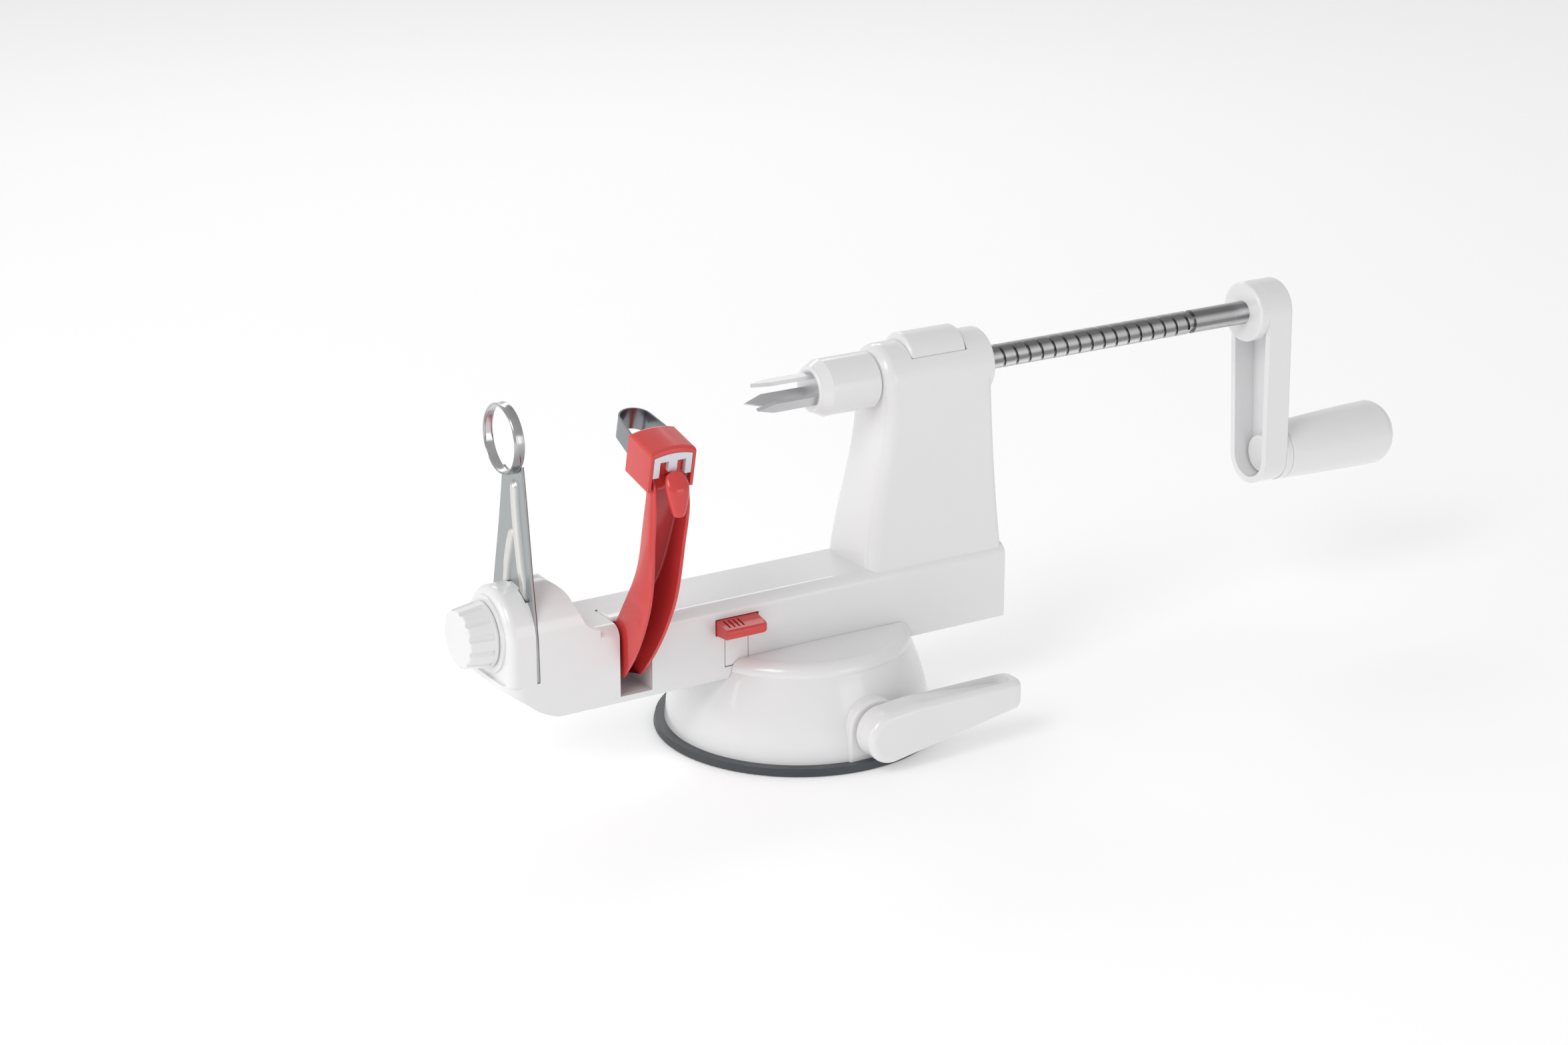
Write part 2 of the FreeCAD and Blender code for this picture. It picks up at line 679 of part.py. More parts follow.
def frame_shell():
    """Shell of beam, tail and tower before its openings are cut."""
    outer = fuse_all(beam_block(0), tail_block(0), tail_ledge(), tower_loft(0, BEAM_TOP - 4, AXIS_Z))
    inner_beam = beam_block(WALL)
    inner_tail = tail_block(WALL)
    inner_tower = tower_loft(WALL, BEAM_TOP - 6, AXIS_Z - BARREL_R)
    return outer.cut(fuse_all(inner_beam, inner_tail, inner_tower))


def slot_walls():
    """Pocket in the beam that the peeling arm swings in."""
    half = SLOT_HALF + WALL
    walls = box(ARM_X - half, ARM_X + half, -BEAM_HALF, SLOT_BACK_Y + WALL, FLOOR_TOP, BEAM_TOP)
    return walls.common(fuse_all(beam_block(0), tail_block(0)))


def slot_cut():
    cut = box(ARM_X - SLOT_HALF, ARM_X + SLOT_HALF, -BEAM_HALF - 1, SLOT_BACK_Y, FLOOR_TOP, BEAM_TOP + 10)
    return round_edges(cut, SLOT_ROUND,
                       lambda m, run, e: m.y > SLOT_BACK_Y - 0.01 and along(run, Vec(0, 0, 1)))


def frame():
    """Beam, tail and tower."""
    body = frame_shell().fuse([slot_walls(), barrel_solid(), frame_bosses()])
    bush_seat = rod_x(BARREL_LEFT - 1, BARREL_LEFT + BUSH_LENGTH, 0, AXIS_Z, BUSH_R)
    sleeve_seat = rod_x(BARREL_RIGHT - SLEEVE_LENGTH, BARREL_RIGHT + 1, 0, AXIS_Z, BUSH_R)
    bore = rod_x(BARREL_LEFT, BARREL_RIGHT, 0, AXIS_Z, SPINDLE_R + SNUG)
    reach = SLOT_HALF + WALL + 1
    pin_bore = rod_x(ARM_X - reach, ARM_X + reach, ARM_PIVOT_Y, ARM_PIVOT_Z, ARM_PIN_R)
    stud_bore = rod_x(BLADE_FACE_X - 1, BLADE_FACE_X + STUD_BOSS + 1, 0, HUMP_Z, STUD_R)
    cuts = [slot_cut(), bush_seat, sleeve_seat, bore, pin_bore, stud_bore]
    cuts += latch_room() + tongue_windows() + frame_screw_bores()
    return body.cut(cuts).removeSplitter()


def frame_bosses():
    """Screw bosses in the beam and the boss that the clamp stud is held in."""
    high = BEAM_TOP - WALL + 0.5
    bosses = [rod_z(x, y, FLOOR_TOP, high, SCREW_BOSS_R) for x, y in base_screw_places()]
    half = BEAM_HALF - WALL / 2
    bosses += [rod_z(x, 0, FLOOR_TOP, high, SCREW_BOSS_R) for x in FLOOR_SCREW_X]
    for x in FLOOR_SCREW_X + (-BASE_SCREW_X, BASE_SCREW_X):
        rib = box(x - RIB_THICK / 2, x + RIB_THICK / 2, -half, half, FLOOR_TOP + 6.0, BEAM_TOP - BEAM_EDGE)
        bosses.append(rib)
    bosses.append(rod_x(BLADE_FACE_X, BLADE_FACE_X + STUD_BOSS, 0, HUMP_Z, STUD_BOSS_R))
    return fuse_all(bosses[0], *bosses[1:])


def frame_screw_bores():
    bores = []
    for x, y in base_screw_places():
        bores.append(rod_z(x, y, FLOOR_TOP - 1, BEAM_LOW - SADDLE_FLOOR + SCREW_BITE + 8, SCREW_R))
    for x in FLOOR_SCREW_X:
        bores.append(rod_z(x, 0, FLOOR_TOP - 1, BEAM_LOW + SCREW_BITE + 1, SCREW_R))
    return bores


def tongue_windows():
    """Slits round the sprung tongue and the opening that its button works in."""
    panel = box(TONGUE_LEFT - TONGUE_GAP, TONGUE_RIGHT + TONGUE_GAP, -BEAM_HALF - 1, -BEAM_HALF + WALL + 1,
                TONGUE_LOW, BUTTON_LOW + 1)
    button = box(BUTTON_LEFT - TONGUE_GAP, BUTTON_RIGHT + TONGUE_GAP, -BEAM_HALF - 1,
                 -BEAM_HALF + BUTTON_BACK, BUTTON_LOW - TONGUE_GAP, BUTTON_HIGH + TONGUE_GAP)
    return [panel, button]


def floor_plate():
    """Cover that closes the beam from below and is the slot's floor."""
    left = TAIL_KNEE_X + WALL + SNUG
    right = BEAM_RIGHT - WALL - SNUG
    half = BEAM_HALF - WALL - SNUG
    plate = box(left, right, -half, half, BEAM_LOW, FLOOR_TOP)
    holes = [rod_z(x, y, BEAM_LOW - 1, FLOOR_TOP + 1, SCREW_R + SNUG) for x, y in base_screw_places()]
    for x in FLOOR_SCREW_X:
        holes.append(rod_z(x, 0, BEAM_LOW - 1, FLOOR_TOP + 1, SCREW_R + SNUG))
        holes.append(rod_z(x, 0, BEAM_LOW - 1, BEAM_LOW + 1.2, SCREW_HEAD_R + SNUG))
    return plate.cut(holes)


def screw(x, y, seat, head, bite):
    """Screw that points up, its head below the seat."""
    shank = rod_z(x, y, seat, seat + bite, SCREW_R)
    cap = rod_z(x, y, seat - head, seat, SCREW_HEAD_R)
    return shank.fuse(cap).removeSplitter()


def base_screws():
    seat = BEAM_LOW - SADDLE_FLOOR
    return Part.makeCompound([screw(x, y, seat, SCREW_HEAD, SCREW_BITE) for x, y in base_screw_places()])


def floor_screws():
    seat = BEAM_LOW + 1.2
    return Part.makeCompound([screw(x, 0, seat, 1.2, SCREW_BITE - 2) for x in FLOOR_SCREW_X])


# Barrel and latch


def barrel_bush():
    """Plain bush pressed into the barrel's left end."""
    body = rod_x(BARREL_LEFT, BARREL_LEFT + BUSH_LENGTH, 0, AXIS_Z, BUSH_R)
    return body.cut(rod_x(BARREL_LEFT - 1, BARREL_LEFT + BUSH_LENGTH + 1, 0, AXIS_Z, SPINDLE_R + RUN))


def spindle_sleeve():
    """Floating sleeve in the barrel's right end that turns with the spindle."""
    left = BARREL_RIGHT - SLEEVE_LENGTH + FREE
    right = BARREL_RIGHT - FREE
    body = rod_x(left, right, 0, AXIS_Z, BUSH_R - RUN)
    return body.cut(rod_x(left - 1, right + 1, 0, AXIS_Z, SPINDLE_R + RUN))


def latch_cap():
    """Button over the barrel with the yoke that carries the feed tooth."""
    wire = outline(
        in_yz(-LATCH_HALF, LATCH_SKIRT_Z, LATCH_LEFT),
        (in_yz(0, LATCH_CROWN_Z, LATCH_LEFT), in_yz(LATCH_HALF, LATCH_SKIRT_Z, LATCH_LEFT)),
    )
    cap = prism(wire, Vec(LATCH_RIGHT - LATCH_LEFT, 0, 0))
    cap = round_edges(cap, LATCH_EDGE,
                      lambda m, run, e: m.x < LATCH_LEFT + 0.01 and m.z > LATCH_SKIRT_Z + 1)
    low = AXIS_Z - YOKE_DEPTH
    yoke_left = TOOTH_X - YOKE_THICK / 2
    yoke = box(yoke_left, yoke_left + YOKE_THICK, -YOKE_HALF, YOKE_HALF, low, LATCH_SKIRT_Z + 2)
    guide_left = LATCH_RIGHT - 1.0 - FREE - GUIDE_THICK
    guide = box(guide_left, guide_left + GUIDE_THICK, -YOKE_HALF, YOKE_HALF, AXIS_Z - 4.0, LATCH_SKIRT_Z + 2)
    room = SPINDLE_R + 0.4
    eye = rod_x(LATCH_LEFT, LATCH_RIGHT, 0, AXIS_Z, room)
    raised = rod_x(LATCH_LEFT, LATCH_RIGHT, 0, AXIS_Z + LATCH_TRAVEL, room)
    between = box(LATCH_LEFT, LATCH_RIGHT, -room, room, AXIS_Z, AXIS_Z + LATCH_TRAVEL)
    mouth = box(guide_left - 1, LATCH_RIGHT, -room, room, AXIS_Z - 6.0, AXIS_Z)
    keyway = rod_z(TOOTH_X, 0, low - 1, AXIS_Z, TOOTH_FOOT_R)
    body = fuse_all(cap, yoke, guide)
    return body.cut([eye, raised, between, mouth, keyway]).removeSplitter()


def feed_tooth():
    """Steel tooth that stands in the spindle's groove from below."""
    tip = AXIS_Z - SPINDLE_R + TOOTH_REACH
    foot_top = AXIS_Z - SPINDLE_R - 0.6
    foot = rod_z(TOOTH_X, 0, AXIS_Z - YOKE_DEPTH, foot_top, TOOTH_FOOT_R)
    blade = box(TOOTH_X - TOOTH_THICK / 2, TOOTH_X + TOOTH_THICK / 2, -TOOTH_WIDE / 2, TOOTH_WIDE / 2,
                foot_top - 1, tip)
    lead = math.degrees(math.atan2(THREAD_PITCH, 2 * math.pi * SPINDLE_R))
    blade.rotate(Vec(TOOTH_X, 0, AXIS_Z), Vec(0, 0, 1), -lead)
    return foot.fuse(blade).removeSplitter()


# Spindle and fork


def feed_groove():
    """Square cornered groove on a right hand helix, open towards the outside."""
    length = THREAD_END - THREAD_START
    over = 0.4
    root = SPINDLE_R - THREAD_DEPTH
    rim = SPINDLE_R + over
    helix = Part.makeHelix(THREAD_PITCH, length, SPINDLE_R)
    wire = outline(
        Vec(root, 0, -THREAD_ROOT / 2),
        Vec(rim, 0, -THREAD_MOUTH / 2),
        Vec(rim, 0, THREAD_MOUTH / 2),
        Vec(root, 0, THREAD_ROOT / 2),
    )
    groove = Part.Wire(helix.Edges).makePipeShell([wire], True, True)
    groove.rotate(Vec(0, 0, 0), Vec(0, 1, 0), 90)
    turns = math.ceil((TOOTH_X - THREAD_START) / THREAD_PITCH)
    groove.translate(Vec(TOOTH_X - turns * THREAD_PITCH, 0, AXIS_Z))
    return groove


def spindle():
    """Feed spindle: helical groove, neck behind it and a plain shank for the crank."""
    body = rod_x(SPINDLE_LEFT, SPINDLE_RIGHT, 0, AXIS_Z, SPINDLE_R)
    body = body.makeChamfer(SPINDLE_CHAMFER, [e for e in body.Edges if e.Length > SPINDLE_R * 6
                                              and e.Curve.TypeId == "Part::GeomCircle"])
    neck_ring = rod_x(THREAD_END - 0.5, THREAD_END - 0.5 + NECK_LENGTH, 0, AXIS_Z, SPINDLE_R + 1)
    neck_core = rod_x(THREAD_END - 1.5, THREAD_END + NECK_LENGTH + 1, 0, AXIS_Z, SPINDLE_R - THREAD_DEPTH)
    pin = turned(rod_y(CRANK_PIN_X, -SPINDLE_R - 1, SPINDLE_R + 1, AXIS_Z, CRANK_PIN_R))
    return body.cut(feed_groove()).cut([neck_ring.cut(neck_core), pin])


def fork_hub():
    """White hub between spindle and fork, with a sloped nose."""
    wire = outline(
        in_xz(HUB_LEFT, AXIS_Z),
        in_xz(HUB_LEFT, AXIS_Z + HUB_NOSE_R - 1.0),
        (in_xz(HUB_LEFT + 0.3, AXIS_Z + HUB_NOSE_R - 0.3), in_xz(HUB_LEFT + 1.0, AXIS_Z + HUB_NOSE_R)),
        in_xz(HUB_LEFT + HUB_NOSE, AXIS_Z + HUB_R),
        in_xz(HUB_RIGHT - 1.0, AXIS_Z + HUB_R),
        (in_xz(HUB_RIGHT - 0.3, AXIS_Z + HUB_R - 0.3), in_xz(HUB_RIGHT, AXIS_Z + HUB_R - 1.0)),
        in_xz(HUB_RIGHT, AXIS_Z),
    )
    body = Part.Face(wire).revolve(Vec(0, 0, AXIS_Z), Vec(1, 0, 0), 360)
    bore = rod_x(SPINDLE_LEFT, HUB_RIGHT + 1, 0, AXIS_Z, SPINDLE_R)
    pocket = rod_x(HUB_LEFT - 1, HUB_LEFT + FORK_DISC, 0, AXIS_Z, FORK_DISC_R)
    return body.cut([bore, pocket])


def fork_prongs():
    """Steel fork: a disc let into the hub and flat prongs with sharp points."""
    disc = rod_x(HUB_LEFT, HUB_LEFT + FORK_DISC, 0, AXIS_Z, FORK_DISC_R)
    prongs = []
    for index in range(PRONG_COUNT):
        half = PRONG_WIDE / 2
        tip = HUB_LEFT - PRONG_REACH
        wire = outline(
            Vec(HUB_LEFT + FORK_DISC / 2, -half, AXIS_Z + PRONG_CIRCLE),
            Vec(tip + PRONG_POINT, -half, AXIS_Z + PRONG_CIRCLE),
            Vec(tip, 0, AXIS_Z + PRONG_CIRCLE),
            Vec(tip + PRONG_POINT, half, AXIS_Z + PRONG_CIRCLE),
            Vec(HUB_LEFT + FORK_DISC / 2, half, AXIS_Z + PRONG_CIRCLE),
        )
        prong = prism(wire, Vec(0, 0, -PRONG_THICK))
        prong.rotate(Vec(0, 0, AXIS_Z), Vec(1, 0, 0), 360.0 / PRONG_COUNT * index)
        prongs.append(prong)
    return fuse_all(disc, *prongs)


# Crank


def turned(shape):
    """Turns a piece about the spindle's axis to the angle that the crank hangs at."""
    shape.rotate(Vec(0, 0, AXIS_Z), Vec(1, 0, 0), CRANK_TURN)
    return shape


def crank_outline(inset, x):
    """Tapered outline with a round top and a round foot."""
    top = CRANK_HALF - inset
    foot = CRANK_FOOT_HALF - inset
    return outline(
        in_yz(-top, AXIS_Z, x),
        (in_yz(0, AXIS_Z + top, x), in_yz(top, AXIS_Z, x)),
        in_yz(foot, GRIP_Z, x),
        (in_yz(0, GRIP_Z - foot, x), in_yz(-foot, GRIP_Z, x)),
    )


def crank_arm():
    """Crank: channel section open to the left, boss for the spindle, pad for the grip pin."""
    body = prism(crank_outline(0, CRANK_LEFT), Vec(CRANK_RIGHT - CRANK_LEFT, 0, 0))
    body = round_edges(body, 1.6, lambda m, run, e: m.x > CRANK_RIGHT - 0.01)
    web_left = CRANK_RIGHT - CRANK_WEB
    channel = prism(crank_outline(CRANK_WALL, CRANK_LEFT - 1), Vec(web_left - CRANK_LEFT + 1, 0, 0))
    boss = rod_x(CRANK_BOSS_LEFT, web_left, 0, AXIS_Z, CRANK_BOSS_R)
    boss = round_edges(boss, 1.2, lambda m, run, e: e.Length > 10 and m.x < CRANK_BOSS_LEFT + 0.01)
    pad = rod_x(web_left - GRIP_PAD, CRANK_RIGHT - 0.5, 0, GRIP_Z, GRIP_PIN_HEAD_R + 1.6)
    collar = rod_x(CRANK_RIGHT - 1.0, CRANK_RIGHT + GRIP_COLLAR, 0, GRIP_Z, GRIP_ROOT_R - SNUG)
    body = body.cut(channel).fuse([boss, pad, collar])
    bore = rod_x(CRANK_BOSS_LEFT - 1, SPINDLE_RIGHT, 0, AXIS_Z, SPINDLE_R)
    cross = rod_y(CRANK_PIN_X, -CRANK_PIN_FRONT, CRANK_HALF + 1, AXIS_Z, CRANK_PIN_R)
    seat = rod_x(CRANK_LEFT, GRIP_PIN_LEFT + GRIP_PIN_HEAD, 0, GRIP_Z, GRIP_PIN_HEAD_R)
    pin = rod_x(CRANK_LEFT, GRIP_LEFT, 0, GRIP_Z, GRIP_PIN_R)
    return turned(body.cut([bore, cross, seat, pin]).removeSplitter())


def crank_pin():
    """Roll pin that holds the crank on the spindle, driven in from the back."""
    return turned(rod_y(CRANK_PIN_X, -CRANK_PIN_FRONT, CRANK_BOSS_R - 0.6, AXIS_Z, CRANK_PIN_R))


def grip_pin():
    """Shouldered pin that the grip turns on."""
    head = rod_x(GRIP_PIN_LEFT, GRIP_PIN_LEFT + GRIP_PIN_HEAD, 0, GRIP_Z, GRIP_PIN_HEAD_R)
    shank = rod_x(GRIP_PIN_LEFT, GRIP_LEFT + GRIP_PIN_REACH, 0, GRIP_Z, GRIP_PIN_R)
    foot_left = GRIP_LEFT + GRIP_PIN_REACH - GRIP_PIN_FOOT
    foot = rod_x(foot_left, GRIP_LEFT + GRIP_PIN_REACH, 0, GRIP_Z, GRIP_PIN_FOOT_R)
    return turned(fuse_all(head, shank, foot))


def crank_grip():
    """Flared grip with a domed end, free to turn on its pin."""
    right = GRIP_LEFT + GRIP_LENGTH
    wire = outline(
        in_xz(GRIP_LEFT, GRIP_Z),
        in_xz(GRIP_LEFT, GRIP_Z + GRIP_ROOT_R - 0.8),
        (in_xz(GRIP_LEFT + 0.25, GRIP_Z + GRIP_ROOT_R - 0.25), in_xz(GRIP_LEFT + 0.8, GRIP_Z + GRIP_ROOT_R)),
        (in_xz(GRIP_LEFT + GRIP_LENGTH * 0.48, GRIP_Z + (GRIP_ROOT_R + GRIP_END_R) / 2 + 0.35),
         in_xz(right - GRIP_DOME, GRIP_Z + GRIP_END_R)),
        (in_xz(right - GRIP_DOME * 0.3, GRIP_Z + GRIP_END_R * 0.8), in_xz(right, GRIP_Z + GRIP_END_R * 0.45)),
        in_xz(right, GRIP_Z),
    )
    body = Part.Face(wire).revolve(Vec(0, 0, GRIP_Z), Vec(1, 0, 0), 360)
    reach = GRIP_LEFT + GRIP_PIN_REACH
    bore = rod_x(GRIP_LEFT - 1, reach, 0, GRIP_Z, GRIP_PIN_R + RUN)
    pocket = rod_x(reach - GRIP_PIN_FOOT - SNUG, reach + SNUG, 0, GRIP_Z, GRIP_PIN_FOOT_R + SNUG)
    return turned(body.cut([bore, pocket]))


# Peeling arm and head


def arm_back():
    """Back edge of the arm from its foot to the head, as outline steps."""
    x = ARM_X - HEAD_WIDE
    return [
        in_yz(ARM_PIVOT_Y + ARM_HUB_R, ARM_PIVOT_Z + 3.0, x),
        in_yz(-5.6, 58.0, x),
        (in_yz(-19.6, 77.0, x), in_yz(-31.5, 95.0, x)),
        (in_yz(-36.4, 107.8, x), in_yz(-42.2, 128.0, x)),
        in_yz(-42.8, ARM_TOP_Z, x),
    ]


def arm_front():
    """Front edge of the arm from the head down to its pointed foot, as outline steps."""
    x = ARM_X - HEAD_WIDE
    return [
        in_yz(-49.0, ARM_TOP_Z, x),
        in_yz(-48.9, 124.0, x),
        (in_yz(-46.0, 106.0, x), in_yz(-42.6, 87.2, x)),
        (in_yz(-32.2, 64.0, x), in_yz(-15.8, ARM_FOOT_Z, x)),
        in_yz(ARM_PIVOT_Y, ARM_PIVOT_Z - ARM_HUB_R, x),
    ]


def peel_arm():
    """Bowed arm that widens towards the head: a channel open to the front, with a pivot collar."""
    x = ARM_X - HEAD_WIDE
    foot = (in_yz(ARM_PIVOT_Y + ARM_HUB_R * 0.7, ARM_PIVOT_Z - ARM_HUB_R * 0.7, x),
            in_yz(ARM_PIVOT_Y + ARM_HUB_R, ARM_PIVOT_Z, x))
    steps = arm_front() + [foot] + arm_back()
    side = prism(outline(steps[-1], *steps[:-1]), Vec(2 * HEAD_WIDE, 0, 0))
    top_half = ARM_FOOT_HALF + ARM_TAPER * (ARM_TOP_Z - ARM_FOOT_Z)
    body = side.common(arm_wedge(ARM_FOOT_HALF, top_half))
    web = side.copy()
    web.translate(Vec(0, -ARM_WEB, -ARM_WEB / 2))
    ahead = side.copy()
    ahead.translate(Vec(0, -ARM_WEB - 6.0, -ARM_WEB))
    room = fuse_all(web, ahead).common(arm_wedge(ARM_FOOT_HALF - ARM_WALL, top_half - ARM_WALL))
    reach = SLOT_HALF - SLOT_GAP
    collar = rod_x(ARM_X - reach, ARM_X + reach, ARM_PIVOT_Y, ARM_PIVOT_Z, ARM_COLLAR_R)
    bore = rod_x(ARM_X - SLOT_HALF, ARM_X + SLOT_HALF, ARM_PIVOT_Y, ARM_PIVOT_Z, ARM_PIN_R + RUN)
    bridge = box(ARM_X - HEAD_WIDE / 2 + HEAD_WALL, ARM_X + HEAD_WIDE / 2 - HEAD_WALL,
                 ARM_BRIDGE_Y, ARM_BRIDGE_Y + ARM_WALL, TAB_NECK_LOW - 2.0, ARM_TOP_Z)
    body = body.cut(room).fuse([collar, bridge])
    tongue = body.common(head_place(head_room(SNUG)))
    return body.cut([bore, head_place(head_block())]).fuse(tongue).removeSplitter()


def arm_wedge(foot_half, top_half):
    """Block that tapers from the head down to the foot, as the arm does from the front."""
    wire = outline(
        in_xz(ARM_X - foot_half, ARM_FOOT_Z - 2.0, HEAD_Y - 40.0),
        in_xz(ARM_X - top_half, ARM_TOP_Z + 1.0, HEAD_Y - 40.0),
        in_xz(ARM_X + top_half, ARM_TOP_Z + 1.0, HEAD_Y - 40.0),
        in_xz(ARM_X + foot_half, ARM_FOOT_Z - 2.0, HEAD_Y - 40.0),
    )
    return prism(wire, Vec(0, 90.0, 0))


def arm_pin():
    """Pivot pin across the slot."""
    reach = SLOT_HALF + WALL
    return rod_x(ARM_X - reach, ARM_X + reach, ARM_PIVOT_Y, ARM_PIVOT_Z, ARM_PIN_R)


def head_place(shape):
    """Moves a piece from the head's own frame to its place on the arm."""
    shape.rotate(Vec(0, 0, 0), Vec(1, 0, 0), HEAD_TILT)
    shape.translate(Vec(ARM_X, HEAD_Y, HEAD_Z))
    return shape


def head_block():
    """Solid of the head with its crowned top, in the head's own frame."""
    wide, deep, tall = HEAD_WIDE / 2, HEAD_DEEP / 2, HEAD_TALL / 2
    wire = outline(
        Vec(-wide, -deep, -tall),
        Vec(-wide, -deep, tall - HEAD_CROWN),
        (Vec(0, -deep, tall), Vec(wide, -deep, tall - HEAD_CROWN)),
        Vec(wide, -deep, -tall),
    )
    block = prism(wire, Vec(0, HEAD_DEEP, 0))
    return round_edges(block, HEAD_EDGE, lambda m, run, e: m.z > -tall + 1 and not abs(m.z) < 2)


def head_room(inset):
    """Room in the head that the arm's end fills."""
    deep, tall = HEAD_DEEP / 2, HEAD_TALL / 2
    half = HEAD_WIDE / 2 - HEAD_WALL - inset
    return box(-half, half, -deep + CLIP_THICK + HEAD_WALL + inset, deep - HEAD_WALL - LOOP_ROOT / 2 - inset,
               -tall - 1, tall - HEAD_WALL - HEAD_CROWN - inset)


def clip_outline(grow):
    """Outline of clip and window: straight sides under a shallow arch, in the head's front face."""
    half = CLIP_WIDE / 2 + grow
    front = -HEAD_DEEP / 2
    top = HEAD_TALL / 2 - HEAD_CROWN - CLIP_RIM + grow
    low = top - CLIP_TALL - 2 * grow
    return outline(
        Vec(-half, front, low),
        Vec(-half, front, top),
        (Vec(0, front, top + CLIP_ARCH), Vec(half, front, top)),
        Vec(half, front, low),
    )


def head_cap():
    """Red cap of the peeling head: open below, with a window in front for the clip."""
    deep, tall = HEAD_DEEP / 2, HEAD_TALL / 2
    window = prism(clip_outline(SNUG), Vec(0, CLIP_THICK, 0))
    half = CLIP_WIDE / 2 + SNUG
    low = tall - HEAD_CROWN - CLIP_RIM - CLIP_TALL
    sill = box(-half, half, -deep - 1, -deep + CLIP_THICK + HEAD_WALL + 1, -tall - 1, low)
    slots = loop_band(SNUG / 4)
    return head_place(head_block().cut([head_room(0), window, sill, slots]).removeSplitter())


def hairpin(half, radius, reach, back, z):
    """Closed wire of a hairpin: straight legs from the root that close in on a round tip."""
    centre = reach - radius
    span = math.hypot(half, centre)
    turn = math.atan2(centre, -half) - math.asin(radius / span)
    length = math.sqrt(span * span - radius * radius)
    meet_x, meet_y = half + length * math.cos(turn), length * math.sin(turn)
    root = half - back * math.cos(turn) / math.sin(turn)
    return outline(
        Vec(-root, -back, z),
        Vec(-meet_x, meet_y, z),
        (Vec(0, reach, z), Vec(meet_x, meet_y, z)),
        Vec(root, -back, z),
    )


def loop_band(grow):
    """Band of the loop blade in the head's frame; grow widens it all round for its slots."""
    deep, tall = HEAD_DEEP / 2, HEAD_TALL / 2
    run = Vec(0, 0, -LOOP_TALL - 2 * grow)
    outer = hairpin(LOOP_HALF + grow, LOOP_TIP_R + grow, LOOP_REACH + grow, LOOP_ROOT + grow, grow)
    thin = LOOP_STEEL + grow
    inner = hairpin(LOOP_HALF - thin, LOOP_TIP_R - thin, LOOP_REACH - thin, LOOP_ROOT + 1, grow)
    band = prism(outer, run).cut(prism(inner, run))
    band.rotate(Vec(0, 0, 0), Vec(1, 0, 0), LOOP_TILT)
    band.translate(Vec(0, deep, tall - HEAD_CROWN - LOOP_DROP))
    return band


def loop_blade():
    """Steel loop that peels, set in the head."""
    return head_place(loop_band(0))


def blade_clip():
    """White clip with three legs that shows in the head's front."""
    top = HEAD_TALL / 2 - HEAD_CROWN - CLIP_RIM
    gap_outer = CLIP_WIDE / 2 - CLIP_LEG
    body = prism(clip_outline(0), Vec(0, CLIP_THICK, 0))
    front, back = -HEAD_DEEP / 2 - 1, -HEAD_DEEP / 2 + CLIP_THICK + 1
    gaps = []
    for side in (-1, 1):
        near, far = sorted((side * CLIP_STEM / 2, side * gap_outer))
        gaps.append(box(near, far, front, back, top - CLIP_TALL - 1, top - CLIP_BAR + CLIP_ARCH / 2))
    low = top - CLIP_TALL
    gaps.append(box(-CLIP_STEM, CLIP_STEM, front, back, low - 1, low + CLIP_STEM_DROP))
    return head_place(body.cut(gaps))


def thumb_tab():
    """Finger tab that the arm is drawn back by: round brow, tapering down."""
    half, foot = TAB_WIDE / 2, TAB_FOOT_WIDE / 2
    wire = outline(
        in_xz(ARM_X - half, TAB_TOP - TAB_BROW, TAB_FRONT),
        (in_xz(ARM_X, TAB_TOP, TAB_FRONT), in_xz(ARM_X + half, TAB_TOP - TAB_BROW, TAB_FRONT)),
        in_xz(ARM_X + foot, TAB_LOW + foot * 0.7, TAB_FRONT),
        (in_xz(ARM_X, TAB_LOW, TAB_FRONT), in_xz(ARM_X - foot, TAB_LOW + foot * 0.7, TAB_FRONT)),
    )
    tab = prism(wire, Vec(0, TAB_THICK, 0))
    tab = round_edges(tab, TAB_EDGE, lambda m, run, e: m.y < TAB_FRONT + 0.01)
    neck = box(ARM_X - TAB_NECK / 2, ARM_X + TAB_NECK / 2, TAB_FRONT + TAB_EDGE + 1, ARM_BRIDGE_Y,
               TAB_NECK_LOW, TAB_NECK_LOW + TAB_NECK_TALL)
    return tab.fuse(neck).removeSplitter()


def release_tongue():
    """Sprung tongue in the beam's front wall, round at its foot, that carries the button."""
    bead = TONGUE_THICK / 2
    middle = -BEAM_HALF + bead
    root = TONGUE_LOW + SNUG + bead
    leaf = box(TONGUE_LEFT, TONGUE_RIGHT, -BEAM_HALF, -BEAM_HALF + TONGUE_THICK, root, BUTTON_LOW)
    return leaf.fuse(rod_x(TONGUE_LEFT, TONGUE_RIGHT, middle, root, bead)).removeSplitter()


